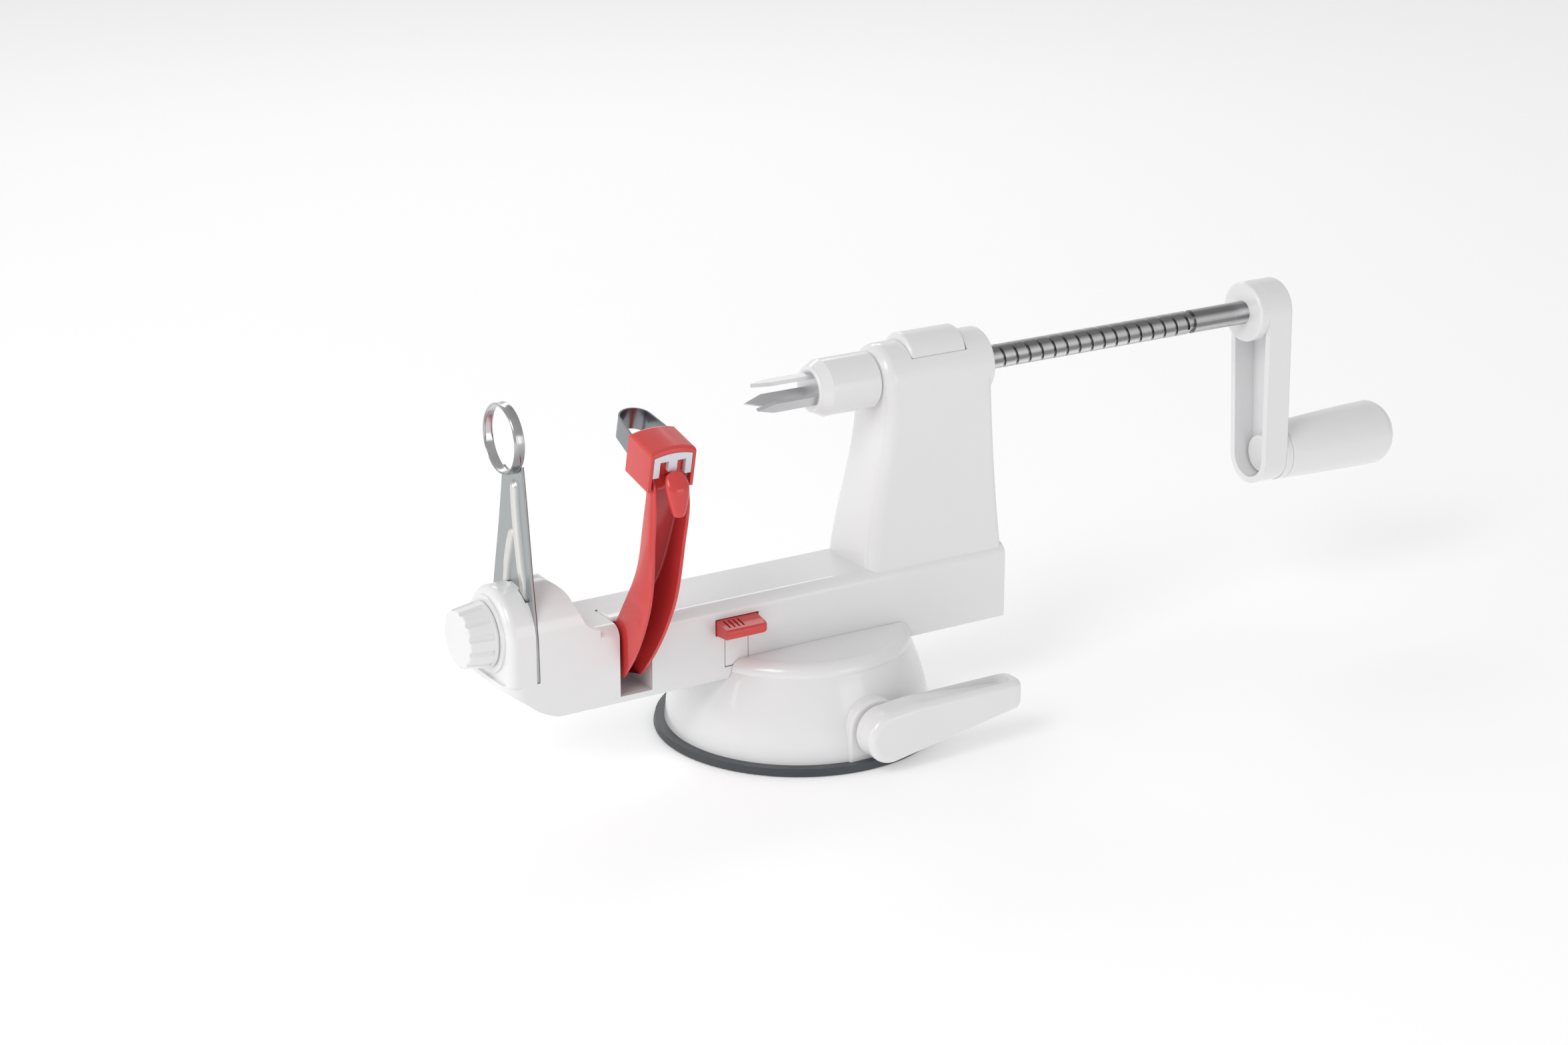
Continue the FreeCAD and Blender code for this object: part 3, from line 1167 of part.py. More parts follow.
def release_button():
    """Red button that stands far out: flat left end, round right corner, grooves on its slope."""
    front = -BEAM_HALF - BUTTON_FRONT
    back = -BEAM_HALF + BUTTON_BACK - TONGUE_GAP - 2.4
    wire = outline(
        in_yz(back, BUTTON_LOW, BUTTON_LEFT),
        in_yz(-BEAM_HALF, BUTTON_LOW, BUTTON_LEFT),
        in_yz(front, BUTTON_LOW + BUTTON_RISE, BUTTON_LEFT),
        in_yz(front, BUTTON_HIGH - BUTTON_FALL, BUTTON_LEFT),
        in_yz(-BEAM_HALF, BUTTON_HIGH, BUTTON_LEFT),
        in_yz(back, BUTTON_HIGH, BUTTON_LEFT),
    )
    body = prism(wire, Vec(BUTTON_RIGHT - BUTTON_LEFT, 0, 0))
    body = round_edges(body, BUTTON_CORNER,
                       lambda m, run, e: m.y < front + 0.01 and m.x > BUTTON_RIGHT - 0.01)
    body = round_edges(body, BUTTON_EDGE,
                       lambda m, run, e: m.y < front + BUTTON_CORNER and m.x > BUTTON_LEFT + 0.01
                       and not along(run, Vec(0, 1, 0)))
    grooves = []
    for index in range(BUTTON_GROOVES):
        x = BUTTON_LEFT + 2.2 + index * BUTTON_GROOVE_STEP
        groove = box(x, x + BUTTON_GROOVE, front + 2.4, -BEAM_HALF - 1.0,
                     BUTTON_HIGH - BUTTON_FALL - 0.9, BUTTON_HIGH + 1)
        grooves.append(groove)
    return body.cut(grooves)


# Corer blade and clamp


def blade_profile(left, right):
    """Side profile of the blade between two offsets from its face: upright, then leaning out."""
    face = BLADE_FACE_X
    deep = -2 * BEAM_HALF
    wire = outline(
        in_xz(face - left, BLADE_LOW - 1, deep),
        in_xz(face - left, BLADE_BEND_Z, deep),
        in_xz(face - left - BLADE_LEAN, BLADE_NECK_Z, deep),
        in_xz(face - right - BLADE_LEAN, BLADE_NECK_Z, deep),
        in_xz(face - right, BLADE_BEND_Z, deep),
        in_xz(face - right, BLADE_LOW - 1, deep),
    )
    return prism(wire, Vec(0, 4 * BEAM_HALF, 0))


def blade_sheet():
    half = BEAM_HALF + BLADE_PROUD
    wire = outline(
        in_yz(-half, BLADE_LOW, BLADE_FACE_X),
        in_yz(-BLADE_NECK_FRONT, BLADE_NECK_Z, BLADE_FACE_X),
        in_yz(BLADE_NECK_BACK, BLADE_NECK_Z, BLADE_FACE_X),
        in_yz(half, BLADE_SPLAY_Z, BLADE_FACE_X),
        in_yz(half, BLADE_LOW, BLADE_FACE_X),
    )
    return prism(wire, Vec(-RING_LEFT, 0, 0)).common(blade_profile(BLADE_STEEL, 0))


def blade_rib(top_y, top_z, low_y, low_z, half):
    """Outline of a pressed rib as a block through the blade: a bar with round ends."""
    face = BLADE_FACE_X
    length = math.hypot(top_y - low_y, top_z - low_z)
    lean = math.degrees(math.atan2(low_y - top_y, top_z - low_z))
    wire = outline(
        Vec(face, -half, 0),
        Vec(face, -half, length),
        (Vec(face, 0, length + half), Vec(face, half, length)),
        Vec(face, half, 0),
        (Vec(face, 0, -half), Vec(face, -half, 0)),
    )
    rib = prism(wire, Vec(-RING_LEFT, 0, 0))
    rib.rotate(Vec(face, 0, 0), Vec(1, 0, 0), lean)
    rib.translate(Vec(0, low_y, low_z))
    return rib


def blade_ribs(grow):
    """Both pressed ribs, standing out of the blade's left face by their rise."""
    first = blade_rib(RIB_A_TOP_Y, RIB_A_TOP - RIB_A_HALF, RIB_A_LOW_Y, RIB_LOW, RIB_A_HALF + grow)
    second = blade_rib(RIB_B_TOP_Y, RIB_B_TOP - RIB_B_HALF, RIB_B_LOW_Y, RIB_LOW, RIB_B_HALF + grow)
    return fuse_all(first, second).common(blade_profile(BLADE_STEEL + RIB_RISE + grow, BLADE_STEEL - 0.5))


def corer_blade():
    """Steel blade: splayed sheet with pressed ribs and the coring ring round the spindle's axis."""
    left = BLADE_FACE_X - RING_LEFT
    centre = AXIS_Z + RING_LIFT
    ring = rod_x(left, left + RING_WIDE, 0, centre, RING_R)
    ring_bore = rod_x(left - 1, BLADE_FACE_X + 1, 0, centre, RING_R - RING_STEEL)
    hole = rod_x(left, BLADE_FACE_X + 1, 0, HUMP_Z, STUD_R + SNUG)
    return blade_sheet().fuse([ring, blade_ribs(0)]).cut([ring_bore, hole]).removeSplitter()


def blade_clamp():
    """Clamp block: same arch as the hump, with grooves for the blade's ribs."""
    right = BLADE_FACE_X - BLADE_STEEL
    wire = outline(
        in_yz(-BEAM_HALF, LEDGE_Z, right),
        in_yz(-BEAM_HALF, HUMP_Z, right),
        (in_yz(0, HUMP_Z + BEAM_HALF, right), in_yz(BEAM_HALF, HUMP_Z, right)),
        in_yz(BEAM_HALF, LEDGE_Z, right),
    )
    body = prism(wire, Vec(-CLAMP_THICK, 0, 0))
    body = round_edges(body, CLAMP_EDGE,
                       lambda m, run, e: m.x < CLAMP_LEFT + 0.01 and m.z > LEDGE_Z + 0.1)
    collar = rod_x(CLAMP_LEFT - CLAMP_COLLAR, CLAMP_LEFT + 1, 0, HUMP_Z, CLAMP_COLLAR_R)
    hole = rod_x(CLAMP_LEFT - 3, right + 1, 0, HUMP_Z, STUD_R + FREE)
    return body.fuse(collar).cut([hole, blade_ribs(SNUG)]).removeSplitter()


def clamp_washer():
    left = CLAMP_LEFT - CLAMP_COLLAR - WASHER
    body = rod_x(left, left + WASHER, 0, HUMP_Z, WASHER_R)
    return body.cut(rod_x(left - 1, left + WASHER + 1, 0, HUMP_Z, STUD_R + FREE))


def clamp_knob():
    """Fluted knob that tapers to its end."""
    wire = outline(
        in_xz(KNOB_RIGHT, HUMP_Z),
        in_xz(KNOB_RIGHT, HUMP_Z + KNOB_ROOT_R),
        in_xz(KNOB_LEFT + 1.2, HUMP_Z + KNOB_END_R),
        (in_xz(KNOB_LEFT + 0.3, HUMP_Z + KNOB_END_R - 0.4), in_xz(KNOB_LEFT, HUMP_Z + KNOB_END_R - 1.3)),
        in_xz(KNOB_LEFT, HUMP_Z),
    )
    body = Part.Face(wire).revolve(Vec(0, 0, HUMP_Z), Vec(1, 0, 0), 360)
    flutes = []
    for index in range(KNOB_FLUTES):
        turn = 2 * math.pi * (index + 0.5) / KNOB_FLUTES
        reach = KNOB_ROOT_R + KNOB_FLUTE_R * 0.35
        root = Vec(KNOB_RIGHT - 1.2, reach * math.cos(turn), HUMP_Z + reach * math.sin(turn))
        lean = (KNOB_END_R - KNOB_ROOT_R) / KNOB_LENGTH
        way = Vec(-1, lean * math.cos(turn), lean * math.sin(turn))
        flutes.append(Part.makeCylinder(KNOB_FLUTE_R, KNOB_LENGTH + 4, root, way))
    bore = rod_x(KNOB_LEFT + KNOB_BORE_END, KNOB_RIGHT + 1, 0, HUMP_Z, STUD_R + RUN)
    return body.cut(flutes + [bore])


def clamp_stud():
    """Threaded stud held in the tail, on which the knob turns."""
    left = KNOB_LEFT + KNOB_BORE_END + 0.6
    return rod_x(left, BLADE_FACE_X + STUD_BOSS + NUT_THICK + 1.5, 0, HUMP_Z, STUD_R)


def clamp_nut():
    """Hexagon nut behind the tail's wall."""
    left = BLADE_FACE_X + STUD_BOSS
    across = NUT_FLATS / math.sqrt(3)
    points = []
    for index in range(6):
        turn = math.pi / 3 * index
        points.append(Vec(left, across * math.cos(turn), HUMP_Z + across * math.sin(turn)))
    body = prism(outline(points[0], *points[1:]), Vec(NUT_THICK, 0, 0))
    return body.cut(rod_x(left - 1, left + NUT_THICK + 1, 0, HUMP_Z, STUD_R))


NODES = {
    "suction_cup": suction_cup,
    "cup_core": cup_core,
    "cup_stud": cup_stud,
    "base_dome": base_dome,
    "cam_shaft": cam_shaft,
    "suction_lever": suction_lever,
    "frame": frame,
    "floor_plate": floor_plate,
    "base_screws": base_screws,
    "floor_screws": floor_screws,
    "barrel_bush": barrel_bush,
    "spindle_sleeve": spindle_sleeve,
    "latch_cap": latch_cap,
    "feed_tooth": feed_tooth,
    "spindle": spindle,
    "fork_hub": fork_hub,
    "fork_prongs": fork_prongs,
    "crank_arm": crank_arm,
    "crank_pin": crank_pin,
    "grip_pin": grip_pin,
    "crank_grip": crank_grip,
    "peel_arm": peel_arm,
    "arm_pin": arm_pin,
    "head_cap": head_cap,
    "loop_blade": loop_blade,
    "blade_clip": blade_clip,
    "thumb_tab": thumb_tab,
    "release_tongue": release_tongue,
    "release_button": release_button,
    "corer_blade": corer_blade,
    "blade_clamp": blade_clamp,
    "clamp_washer": clamp_washer,
    "clamp_knob": clamp_knob,
    "clamp_stud": clamp_stud,
    "clamp_nut": clamp_nut,
}


def main():
    os.makedirs("parts", exist_ok=True)
    for name, make in NODES.items():
        shape = make()
        shape.exportStep(os.path.join("parts", name + ".step"))
        print(name, "solids", len(shape.Solids), "valid", shape.isValid(), "volume", round(shape.Volume))


main()
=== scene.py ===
# %% [markdown]
# # An apple peeler on a suction foot
#
# This lesson dresses a hand cranked apple peeler. The solids come in ready made, as a fixed
# frame with joints. Here they get their finishes: glossy white and red mouldings, dark rubber
# and bright steel. A few pieces whose surface a solid can't carry finely enough, such as the
# pressed blade and the thin walled arm, are worked out again as surfaces with numpy.
#
# The file runs from top to bottom. Each step first says what the real piece is, how it could
# be made, and why one way was chosen.

# %% Load the frame
import math

import bpy
import numpy as np
from mathutils import Matrix, Vector


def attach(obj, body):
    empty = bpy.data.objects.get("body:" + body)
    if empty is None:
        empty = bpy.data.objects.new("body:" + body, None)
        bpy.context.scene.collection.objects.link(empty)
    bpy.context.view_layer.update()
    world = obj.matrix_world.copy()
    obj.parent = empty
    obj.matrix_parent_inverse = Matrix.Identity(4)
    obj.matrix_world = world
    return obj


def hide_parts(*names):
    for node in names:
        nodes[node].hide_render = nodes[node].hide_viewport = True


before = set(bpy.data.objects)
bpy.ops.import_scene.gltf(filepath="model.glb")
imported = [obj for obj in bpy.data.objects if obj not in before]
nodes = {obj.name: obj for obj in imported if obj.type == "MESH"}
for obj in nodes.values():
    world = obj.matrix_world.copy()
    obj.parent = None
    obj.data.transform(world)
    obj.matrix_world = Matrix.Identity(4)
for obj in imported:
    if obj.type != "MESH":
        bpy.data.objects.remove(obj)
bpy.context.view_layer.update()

print("pieces in the frame:", len(nodes))

# %% [markdown]
# ## Units and helpers
#
# The peeler was drawn in millimetres, and Blender works in metres. Writing sizes in
# millimetres and turning them into metres in one place keeps the numbers easy to compare with
# a ruler. New pieces are grids of points: a helper turns any grid into a closed skin of quads.

# %% Millimetres to metres
MM = 0.001


def mm(values):
    """Millimetres to metres for a number or an array of any shape: value times 0.001."""
    return np.asarray(values, float) * MM


# %% A grid of points becomes a mesh
def grid_faces(rows, columns, round_columns=False, round_rows=False):
    """Corner numbers of the quads of a grid: cell (i, j) joins points i, i+1 and j, j+1.

    With round columns the last column joins the first one, so the grid closes into a tube. With
    round rows as well, the tube closes into a hoop."""
    i = np.arange(rows if round_rows else rows - 1)[:, None]
    j = np.arange(columns if round_columns else columns - 1)[None, :]
    after, beside = (i + 1) % rows * columns, (j + 1) % columns
    return np.stack([i * columns + j, i * columns + beside, after + beside, after + j], -1).reshape(-1, 4)


def mesh_piece(name, points, faces, material):
    """One object at the origin from an array of points in metres and a list of faces."""
    mesh = bpy.data.meshes.new(name)
    mesh.from_pydata(np.asarray(points, float).reshape(-1, 3), [], [tuple(map(int, f)) for f in faces])
    mesh.validate()
    mesh.polygons.foreach_set("use_smooth", np.full(len(mesh.polygons), True))
    mesh.materials.append(material)
    piece = bpy.data.objects.new(name, mesh)
    bpy.context.scene.collection.objects.link(piece)
    return piece


# %% A smooth line through chosen points
def through(t, knots, values):
    """Cubic through the knots: h00 y0 + h10 d m0 + h01 y1 + h11 d m1, with weighted mean slopes m."""
    knots, values = np.asarray(knots, float), np.asarray(values, float)
    run = np.diff(knots)
    rise = np.diff(values) / run
    inner = (rise[:-1] * run[1:] + rise[1:] * run[:-1]) / (run[1:] + run[:-1])
    slope = np.concatenate([rise[:1], inner, rise[-1:]])
    t = np.clip(t, knots[0], knots[-1])
    i = np.clip(np.searchsorted(knots, t, side="right") - 1, 0, len(run) - 1)
    s = (t - knots[i]) / run[i]
    start = (1 + 2 * s) * (1 - s) ** 2 * values[i] + s * (1 - s) ** 2 * run[i] * slope[i]
    return start + s ** 2 * (3 - 2 * s) * values[i + 1] + s ** 2 * (s - 1) * run[i] * slope[i + 1]


# %% Angles round an axis
def full_turn(count):
    """Angles spread evenly over one turn, from nought up: 2 pi k / n."""
    return np.linspace(0, 2 * math.pi, count + 1)[:-1]


# %% A tube of rings, closed at both ends
def ring_skin(name, rings, material):
    """Skin over rings of points, array (rows, columns, 3); a fan of faces closes each end.

    The poles are the middles of the first and the last ring."""
    rows, columns = rings.shape[:2]
    faces = grid_faces(rows, columns, round_columns=True).tolist()
    first, last = rows * columns, rows * columns + 1
    edge = np.arange(columns)
    after = (edge + 1) % columns
    faces += np.stack([np.full(columns, first), after, edge], 1).tolist()
    end = (rows - 1) * columns
    faces += np.stack([np.full(columns, last), end + edge, end + after], 1).tolist()
    points = np.concatenate([rings.reshape(-1, 3), rings[:1].mean(1), rings[-1:].mean(1)])
    return mesh_piece(name, points, faces, material)


# %% [markdown]
# ## Finishes
#
# Injection moulded plastic is never a single flat value. Its gloss changes a little from place
# to place, it carries the faint waviness of the mould, and dust settles on its upper sides.
# Three effects are shared by many materials, so each is a node group that is built once:
# gloss that drifts, a skin of small waves, and dust. The groups put out colours, values and
# normals only. The shader stays in each material.


# %% Small helpers for node trees
def group_tree(name, inputs, outputs):
    """A shader node group with named float, colour or vector sockets."""
    kinds = {"value": "NodeSocketFloat", "colour": "NodeSocketColor", "vector": "NodeSocketVector"}
    tree = bpy.data.node_groups.new(name, "ShaderNodeTree")
    for label, kind, default in inputs:
        socket = tree.interface.new_socket(label, in_out="INPUT", socket_type=kinds[kind])
        if default is not None:
            socket.default_value = default
    for label, kind in outputs:
        tree.interface.new_socket(label, in_out="OUTPUT", socket_type=kinds[kind])
    return tree, tree.nodes.new("NodeGroupInput"), tree.nodes.new("NodeGroupOutput")


def add(tree, kind, links=(), **settings):
    """A node with its properties set and its inputs linked or given a value."""
    node = tree.nodes.new(kind)
    for key, value in settings.items():
        setattr(node, key, value)
    for socket, source in dict(links).items():
        if isinstance(source, bpy.types.NodeSocket):
            tree.links.new(source, node.inputs[socket])
        else:
            node.inputs[socket].default_value = source
    return node


def mixed_colour(tree, factor, first, second):
    """The colour (1 - f) a + f b; each of a and b is a socket or a red, green, blue triple."""
    mix = add(tree, "ShaderNodeMix", {"Factor": factor}, data_type="RGBA")
    for socket, source in zip([s for s in mix.inputs if s.type == "RGBA"], (first, second)):
        if isinstance(source, bpy.types.NodeSocket):
            tree.links.new(source, socket)
        else:
            socket.default_value = (*source, 1)
    return next(s for s in mix.outputs if s.type == "RGBA")


def maths(tree, operation, *values, clamp=False):
    """The result of a Math node; each of its inputs is a number or a socket."""
    return add(tree, "ShaderNodeMath", dict(enumerate(values)), operation=operation,
               use_clamp=clamp).outputs[0]


def noise(tree, place, scale, detail, roughness=0.5):
    """The value of a noise at a place; the scale is a number or a socket."""
    return add(tree, "ShaderNodeTexNoise", {"Vector": place, "Scale": scale, "Detail": detail,
                                            "Roughness": roughness}).outputs["Fac"]


def bumped(tree, height):
    """The normal of a surface that a height in metres raises."""
    bump = add(tree, "ShaderNodeBump", {"Height": height, "Strength": 1.0, "Distance": 1.0})
    return bump.outputs["Normal"]


def facing_up(tree):
    """How far the surface faces up: the z of its normal, from -1 to 1."""
    normal = add(tree, "ShaderNodeNewGeometry").outputs["Normal"]
    return add(tree, "ShaderNodeSeparateXYZ", {"Vector": normal}).outputs["Z"]


# %% Gloss that drifts: two noises of different size move the roughness up and down
FINE_TIMES = 14.0


def gloss_drift_group():
    """Roughness r + s (n + m - 1) with a wide noise n and a fine one m; the mask is n."""
    tree, given, put = group_tree(
        "gloss_drift",
        [("Vector", "vector", None), ("Roughness", "value", 0.2), ("Spread", "value", 0.05),
         ("Scale", "value", 40.0)],
        [("Roughness", "value"), ("Mask", "value")],
    )
    place, scale = given.outputs["Vector"], given.outputs["Scale"]
    wide = noise(tree, place, scale, detail=3.0, roughness=0.55)
    fine = noise(tree, place, maths(tree, "MULTIPLY", scale, FINE_TIMES), detail=2.0)
    centred = maths(tree, "SUBTRACT", maths(tree, "ADD", wide, fine), 1.0)
    moved = maths(tree, "MULTIPLY_ADD", centred, given.outputs["Spread"], given.outputs["Roughness"])
    tree.links.new(moved, put.inputs["Roughness"])
    tree.links.new(wide, put.inputs["Mask"])
    return tree


# %% Mould skin: long shallow waves and a fine orange peel, as a normal
WAVE_SCALE = 22.0
PEEL_SCALE = 900.0


def mould_skin_group():
    """Normal of the height w n + p m, with a wide noise n and a fine one m."""
    tree, given, put = group_tree(
        "mould_skin",
        [("Vector", "vector", None), ("Wave height", "value", 0.0002), ("Peel height", "value", 0.00002)],
        [("Normal", "vector")],
    )
    place = given.outputs["Vector"]
    wide = noise(tree, place, WAVE_SCALE, detail=1.0)
    fine = noise(tree, place, PEEL_SCALE, detail=2.0)
    waves = maths(tree, "MULTIPLY", wide, given.outputs["Wave height"])
    height = maths(tree, "MULTIPLY_ADD", fine, given.outputs["Peel height"], waves)
    tree.links.new(bumped(tree, height), put.inputs["Normal"])
    return tree


# %% Dust: a thin pale film on what faces up, broken by noise
DUST_SCALE = 160.0
DUST_FROM = 0.2


def dust_group():
    """Colour mixed towards the dust's by u n a: how far it faces up, a noise and the amount."""
    tree, given, put = group_tree(
        "settled_dust",
        [("Colour", "colour", (1, 1, 1, 1)), ("Vector", "vector", None), ("Amount", "value", 0.05),
         ("Dust colour", "colour", (0.62, 0.60, 0.57, 1))],
        [("Colour", "colour")],
    )
    up = add(tree, "ShaderNodeMapRange", {"Value": facing_up(tree), "From Min": DUST_FROM, "From Max": 1.0})
    patches = noise(tree, given.outputs["Vector"], DUST_SCALE, detail=5.0)
    broken = maths(tree, "MULTIPLY", up.outputs["Result"], patches)
    mask = maths(tree, "MULTIPLY", broken, given.outputs["Amount"])
    dusty = mixed_colour(tree, mask, given.outputs["Colour"], given.outputs["Dust colour"])
    tree.links.new(dusty, put.inputs["Colour"])
    return tree


GLOSS, SKIN, DUST = gloss_drift_group(), mould_skin_group(), dust_group()
print("shared effects:", [g.name for g in bpy.data.node_groups])


# %% [markdown]
# ### Moulded plastic
#
# The same plastic recipe serves the white body, the red head and the off-white clip. Only the
# colours and heights differ, so one function builds them all and each call keeps its own
# values. The colour drifts between two near tones, as a moulding does where it flowed.


# %% Where every material starts and ends
def new_material(name):
    """A material, its empty node tree and the Object coordinates in it."""
    material = bpy.data.materials.new(name)
    material.use_nodes = True
    tree = material.node_tree
    tree.nodes.clear()
    return material, tree, add(tree, "ShaderNodeTexCoord").outputs["Object"]


def finish_with(tree, sockets):
    """A Principled shader with these sockets, joined to the material's output."""
    shader = add(tree, "ShaderNodeBsdfPrincipled", sockets)
    add(tree, "ShaderNodeOutputMaterial", {"Surface": shader.outputs["BSDF"]})


# %% Plastic from a recipe
PLASTIC_IOR = 1.5
COAT_ROUGHNESS = 0.06


def plastic(name, tone, second, roughness, spread, coat, wave, peel, dust, deep=None):
    """Principled plastic: two tones mixed by noise, drifting gloss, mould skin and dust.

    Deep is painted shade: a darker tone for a channel's bottom, mixed in by a share that the mesh carries."""
    material, tree, place = new_material(name)
    gloss = add(tree, "ShaderNodeGroup", {"Vector": place, "Roughness": roughness, "Spread": spread},
                node_tree=GLOSS)
    skin = add(tree, "ShaderNodeGroup", {"Vector": place, "Wave height": wave, "Peel height": peel},
               node_tree=SKIN)
    clean = mixed_colour(tree, gloss.outputs["Mask"], tone, second)
    colour = add(tree, "ShaderNodeGroup", {"Vector": place, "Amount": dust, "Colour": clean},
                 node_tree=DUST).outputs["Colour"]
    # Painted shade: the colour darkens towards the deep tone by the share stored on the mesh.
    if deep:
        channel_shade = add(tree, "ShaderNodeAttribute", attribute_name="channel_shade").outputs["Fac"]
        colour = mixed_colour(tree, channel_shade, colour, deep)
    finish_with(tree, {
        "Base Color": colour, "Roughness": gloss.outputs["Roughness"], "Normal": skin.outputs["Normal"],
        "IOR": PLASTIC_IOR, "Coat Weight": coat, "Coat Roughness": COAT_ROUGHNESS})
    return material


RED = (0.68, 0.060, 0.054)
RED_SECOND = (0.61, 0.044, 0.042)
# Painted shade: a darker red for the bottom of the arm's channel.
RED_PAINTED_SHADE = (0.49, 0.038, 0.042)
white_gloss = plastic("white_gloss_moulding", tone=(0.83, 0.83, 0.84), second=(0.80, 0.80, 0.805),
                      roughness=0.20, spread=0.06, coat=0.35, wave=0.00010, peel=0.000004, dust=0.05)
white_satin = plastic("white_satin_knob", tone=(0.81, 0.81, 0.81), second=(0.77, 0.77, 0.775),
                      roughness=0.34, spread=0.08, coat=0.05, wave=0.00008, peel=0.000010, dust=0.06)
red_gloss = plastic("red_gloss_moulding", tone=RED, second=RED_SECOND,
                    roughness=0.18, spread=0.06, coat=0.12, wave=0.00012, peel=0.000005, dust=0.03)
# The channel's plastic carries painted shade and is darker towards the channel's bottom.
red_channel = plastic("red_channel_painted_shade", tone=RED, second=RED_SECOND, deep=RED_PAINTED_SHADE,
                      roughness=0.18, spread=0.06, coat=0.12, wave=0.00012, peel=0.000005, dust=0.03)
clip_white = plastic("clip_off_white", tone=(0.74, 0.74, 0.80), second=(0.69, 0.69, 0.74),
                     roughness=0.36, spread=0.06, coat=0.0, wave=0.00006, peel=0.000006, dust=0.04)
print("plastics:", [m.name for m in (white_gloss, white_satin, red_gloss, red_channel, clip_white)])

# %% [markdown]
# ### Rubber and steel
#
# Rubber is a rough, dark dielectric with a fine grain. Steel is a metal whose look comes from
# the direction of its polishing lines: round and round on a turned spindle, up and down on a
# pressed blade. Stretching a noise along one axis gives such lines cheaply. Each steel's
# colour also mixes a light and a dark tone as painted reflection.


# %% Rubber of the foot
foot_rubber = plastic("foot_rubber", tone=(0.055, 0.062, 0.070), second=(0.040, 0.046, 0.052),
                      roughness=0.46, spread=0.10, coat=0.0, wave=0.00010, peel=0.000016, dust=0.10)
print("rubber:", foot_rubber.name)


# %% Steel with polishing lines along one axis
LINE_SCALE = 60.0
LINE_GLOSS = 0.10
LINE_TONE = 0.12
STEEL_SPREAD = 0.05
# Bands of painted reflection on a round bar: sin(7 nz - 0.8) of how far it faces up.
BAND_TIMES, BAND_SHIFT = 7.0, -0.8


def steel(name, tone, second, roughness, stretch, line_height, mixer=(40.0, 0.2, 0.8)):
    """Principled metal: a noise stretched by a Mapping node draws the polishing lines.

    Two tones are painted reflection: they stand for the light and dark parts of a room that
    polished steel mirrors. The mixer is what mixes them, with its low and high end: the scale
    of a noise in patches, the name of an attribute that the mesh carries, or "facing", how far
    a round bar's surface faces up, as sin(7 nz - 0.8), which paints bands of reflection along the bar."""
    material, tree, place = new_material(name)
    mapped = add(tree, "ShaderNodeMapping", {"Vector": place, "Scale": stretch})
    lines = noise(tree, mapped.outputs[0], LINE_SCALE, detail=4.0, roughness=0.6)
    gloss = add(tree, "ShaderNodeGroup", {"Vector": place, "Roughness": roughness, "Spread": STEEL_SPREAD},
                node_tree=GLOSS)
    kind, low, high = mixer
    # Painted reflection: bands that follow how far the surface faces up.
    if kind == "facing":
        source = maths(tree, "SINE", maths(tree, "MULTIPLY_ADD", facing_up(tree), BAND_TIMES, BAND_SHIFT))
    elif isinstance(kind, str):
        source = add(tree, "ShaderNodeAttribute", attribute_name=kind).outputs["Fac"]
    else:
        source = noise(tree, place, kind, detail=1.5)
    mask = add(tree, "ShaderNodeMapRange", {"Value": source, "From Min": low, "From Max": high})
    blend = maths(tree, "MULTIPLY_ADD", lines, LINE_TONE, mask.outputs["Result"], clamp=True)
    finish_with(tree, {
        "Base Color": mixed_colour(tree, blend, tone, second), "Metallic": 1.0,
        "Roughness": maths(tree, "MULTIPLY_ADD", lines, LINE_GLOSS, gloss.outputs["Roughness"]),
        "Normal": bumped(tree, maths(tree, "MULTIPLY", lines, line_height))})
    return material


# Turned steel: painted reflection, a dark and a light tone in bands by how far the bar faces up.
turned_steel = steel("turned_steel", tone=(0.20, 0.20, 0.205), second=(0.74, 0.74, 0.745),
                     roughness=0.20, stretch=(40.0, 1.0, 1.0), line_height=0.000010,
                     mixer=("facing", -0.7, 1.1))
# Blade steel: painted highlight, with the pressed ribs lighter than the flat sheet by the rib share that
# the strip carries.
blade_steel = steel("pressed_blade_steel", tone=(0.36, 0.38, 0.385), second=(0.70, 0.69, 0.67),
                    roughness=0.24, stretch=(12.0, 12.0, 0.6), line_height=0.000002,
                    mixer=("rise", 0.15, 0.9))
# Ring steel: painted reflection, light and dark noise patches on the polished ring.
ring_steel = steel("polished_ring_steel", tone=(0.62, 0.62, 0.625), second=(0.30, 0.30, 0.305),
                   roughness=0.12, stretch=(3.0, 1.0, 1.0), line_height=0.000002,
                   mixer=(52.0, 0.44, 0.66))
loop_steel = steel("loop_blade_steel", tone=(0.25, 0.26, 0.28), second=(0.19, 0.20, 0.22),
                   roughness=0.20, stretch=(2.0, 2.0, 14.0), line_height=0.000001,
                   mixer=(40.0, 0.4, 0.7))
plain_steel = steel("plain_steel", tone=(0.72, 0.72, 0.73), second=(0.64, 0.64, 0.65),
                    roughness=0.34, stretch=(6.0, 6.0, 6.0), line_height=0.000006)
print("steels:", [m.name for m in (turned_steel, blade_steel, ring_steel, loop_steel, plain_steel)])

# %% [markdown]
# ## Dressing the solids
#
# Every solid keeps its shape and only takes a material. A dictionary from node name to
# material makes it easy to see that none was forgotten.

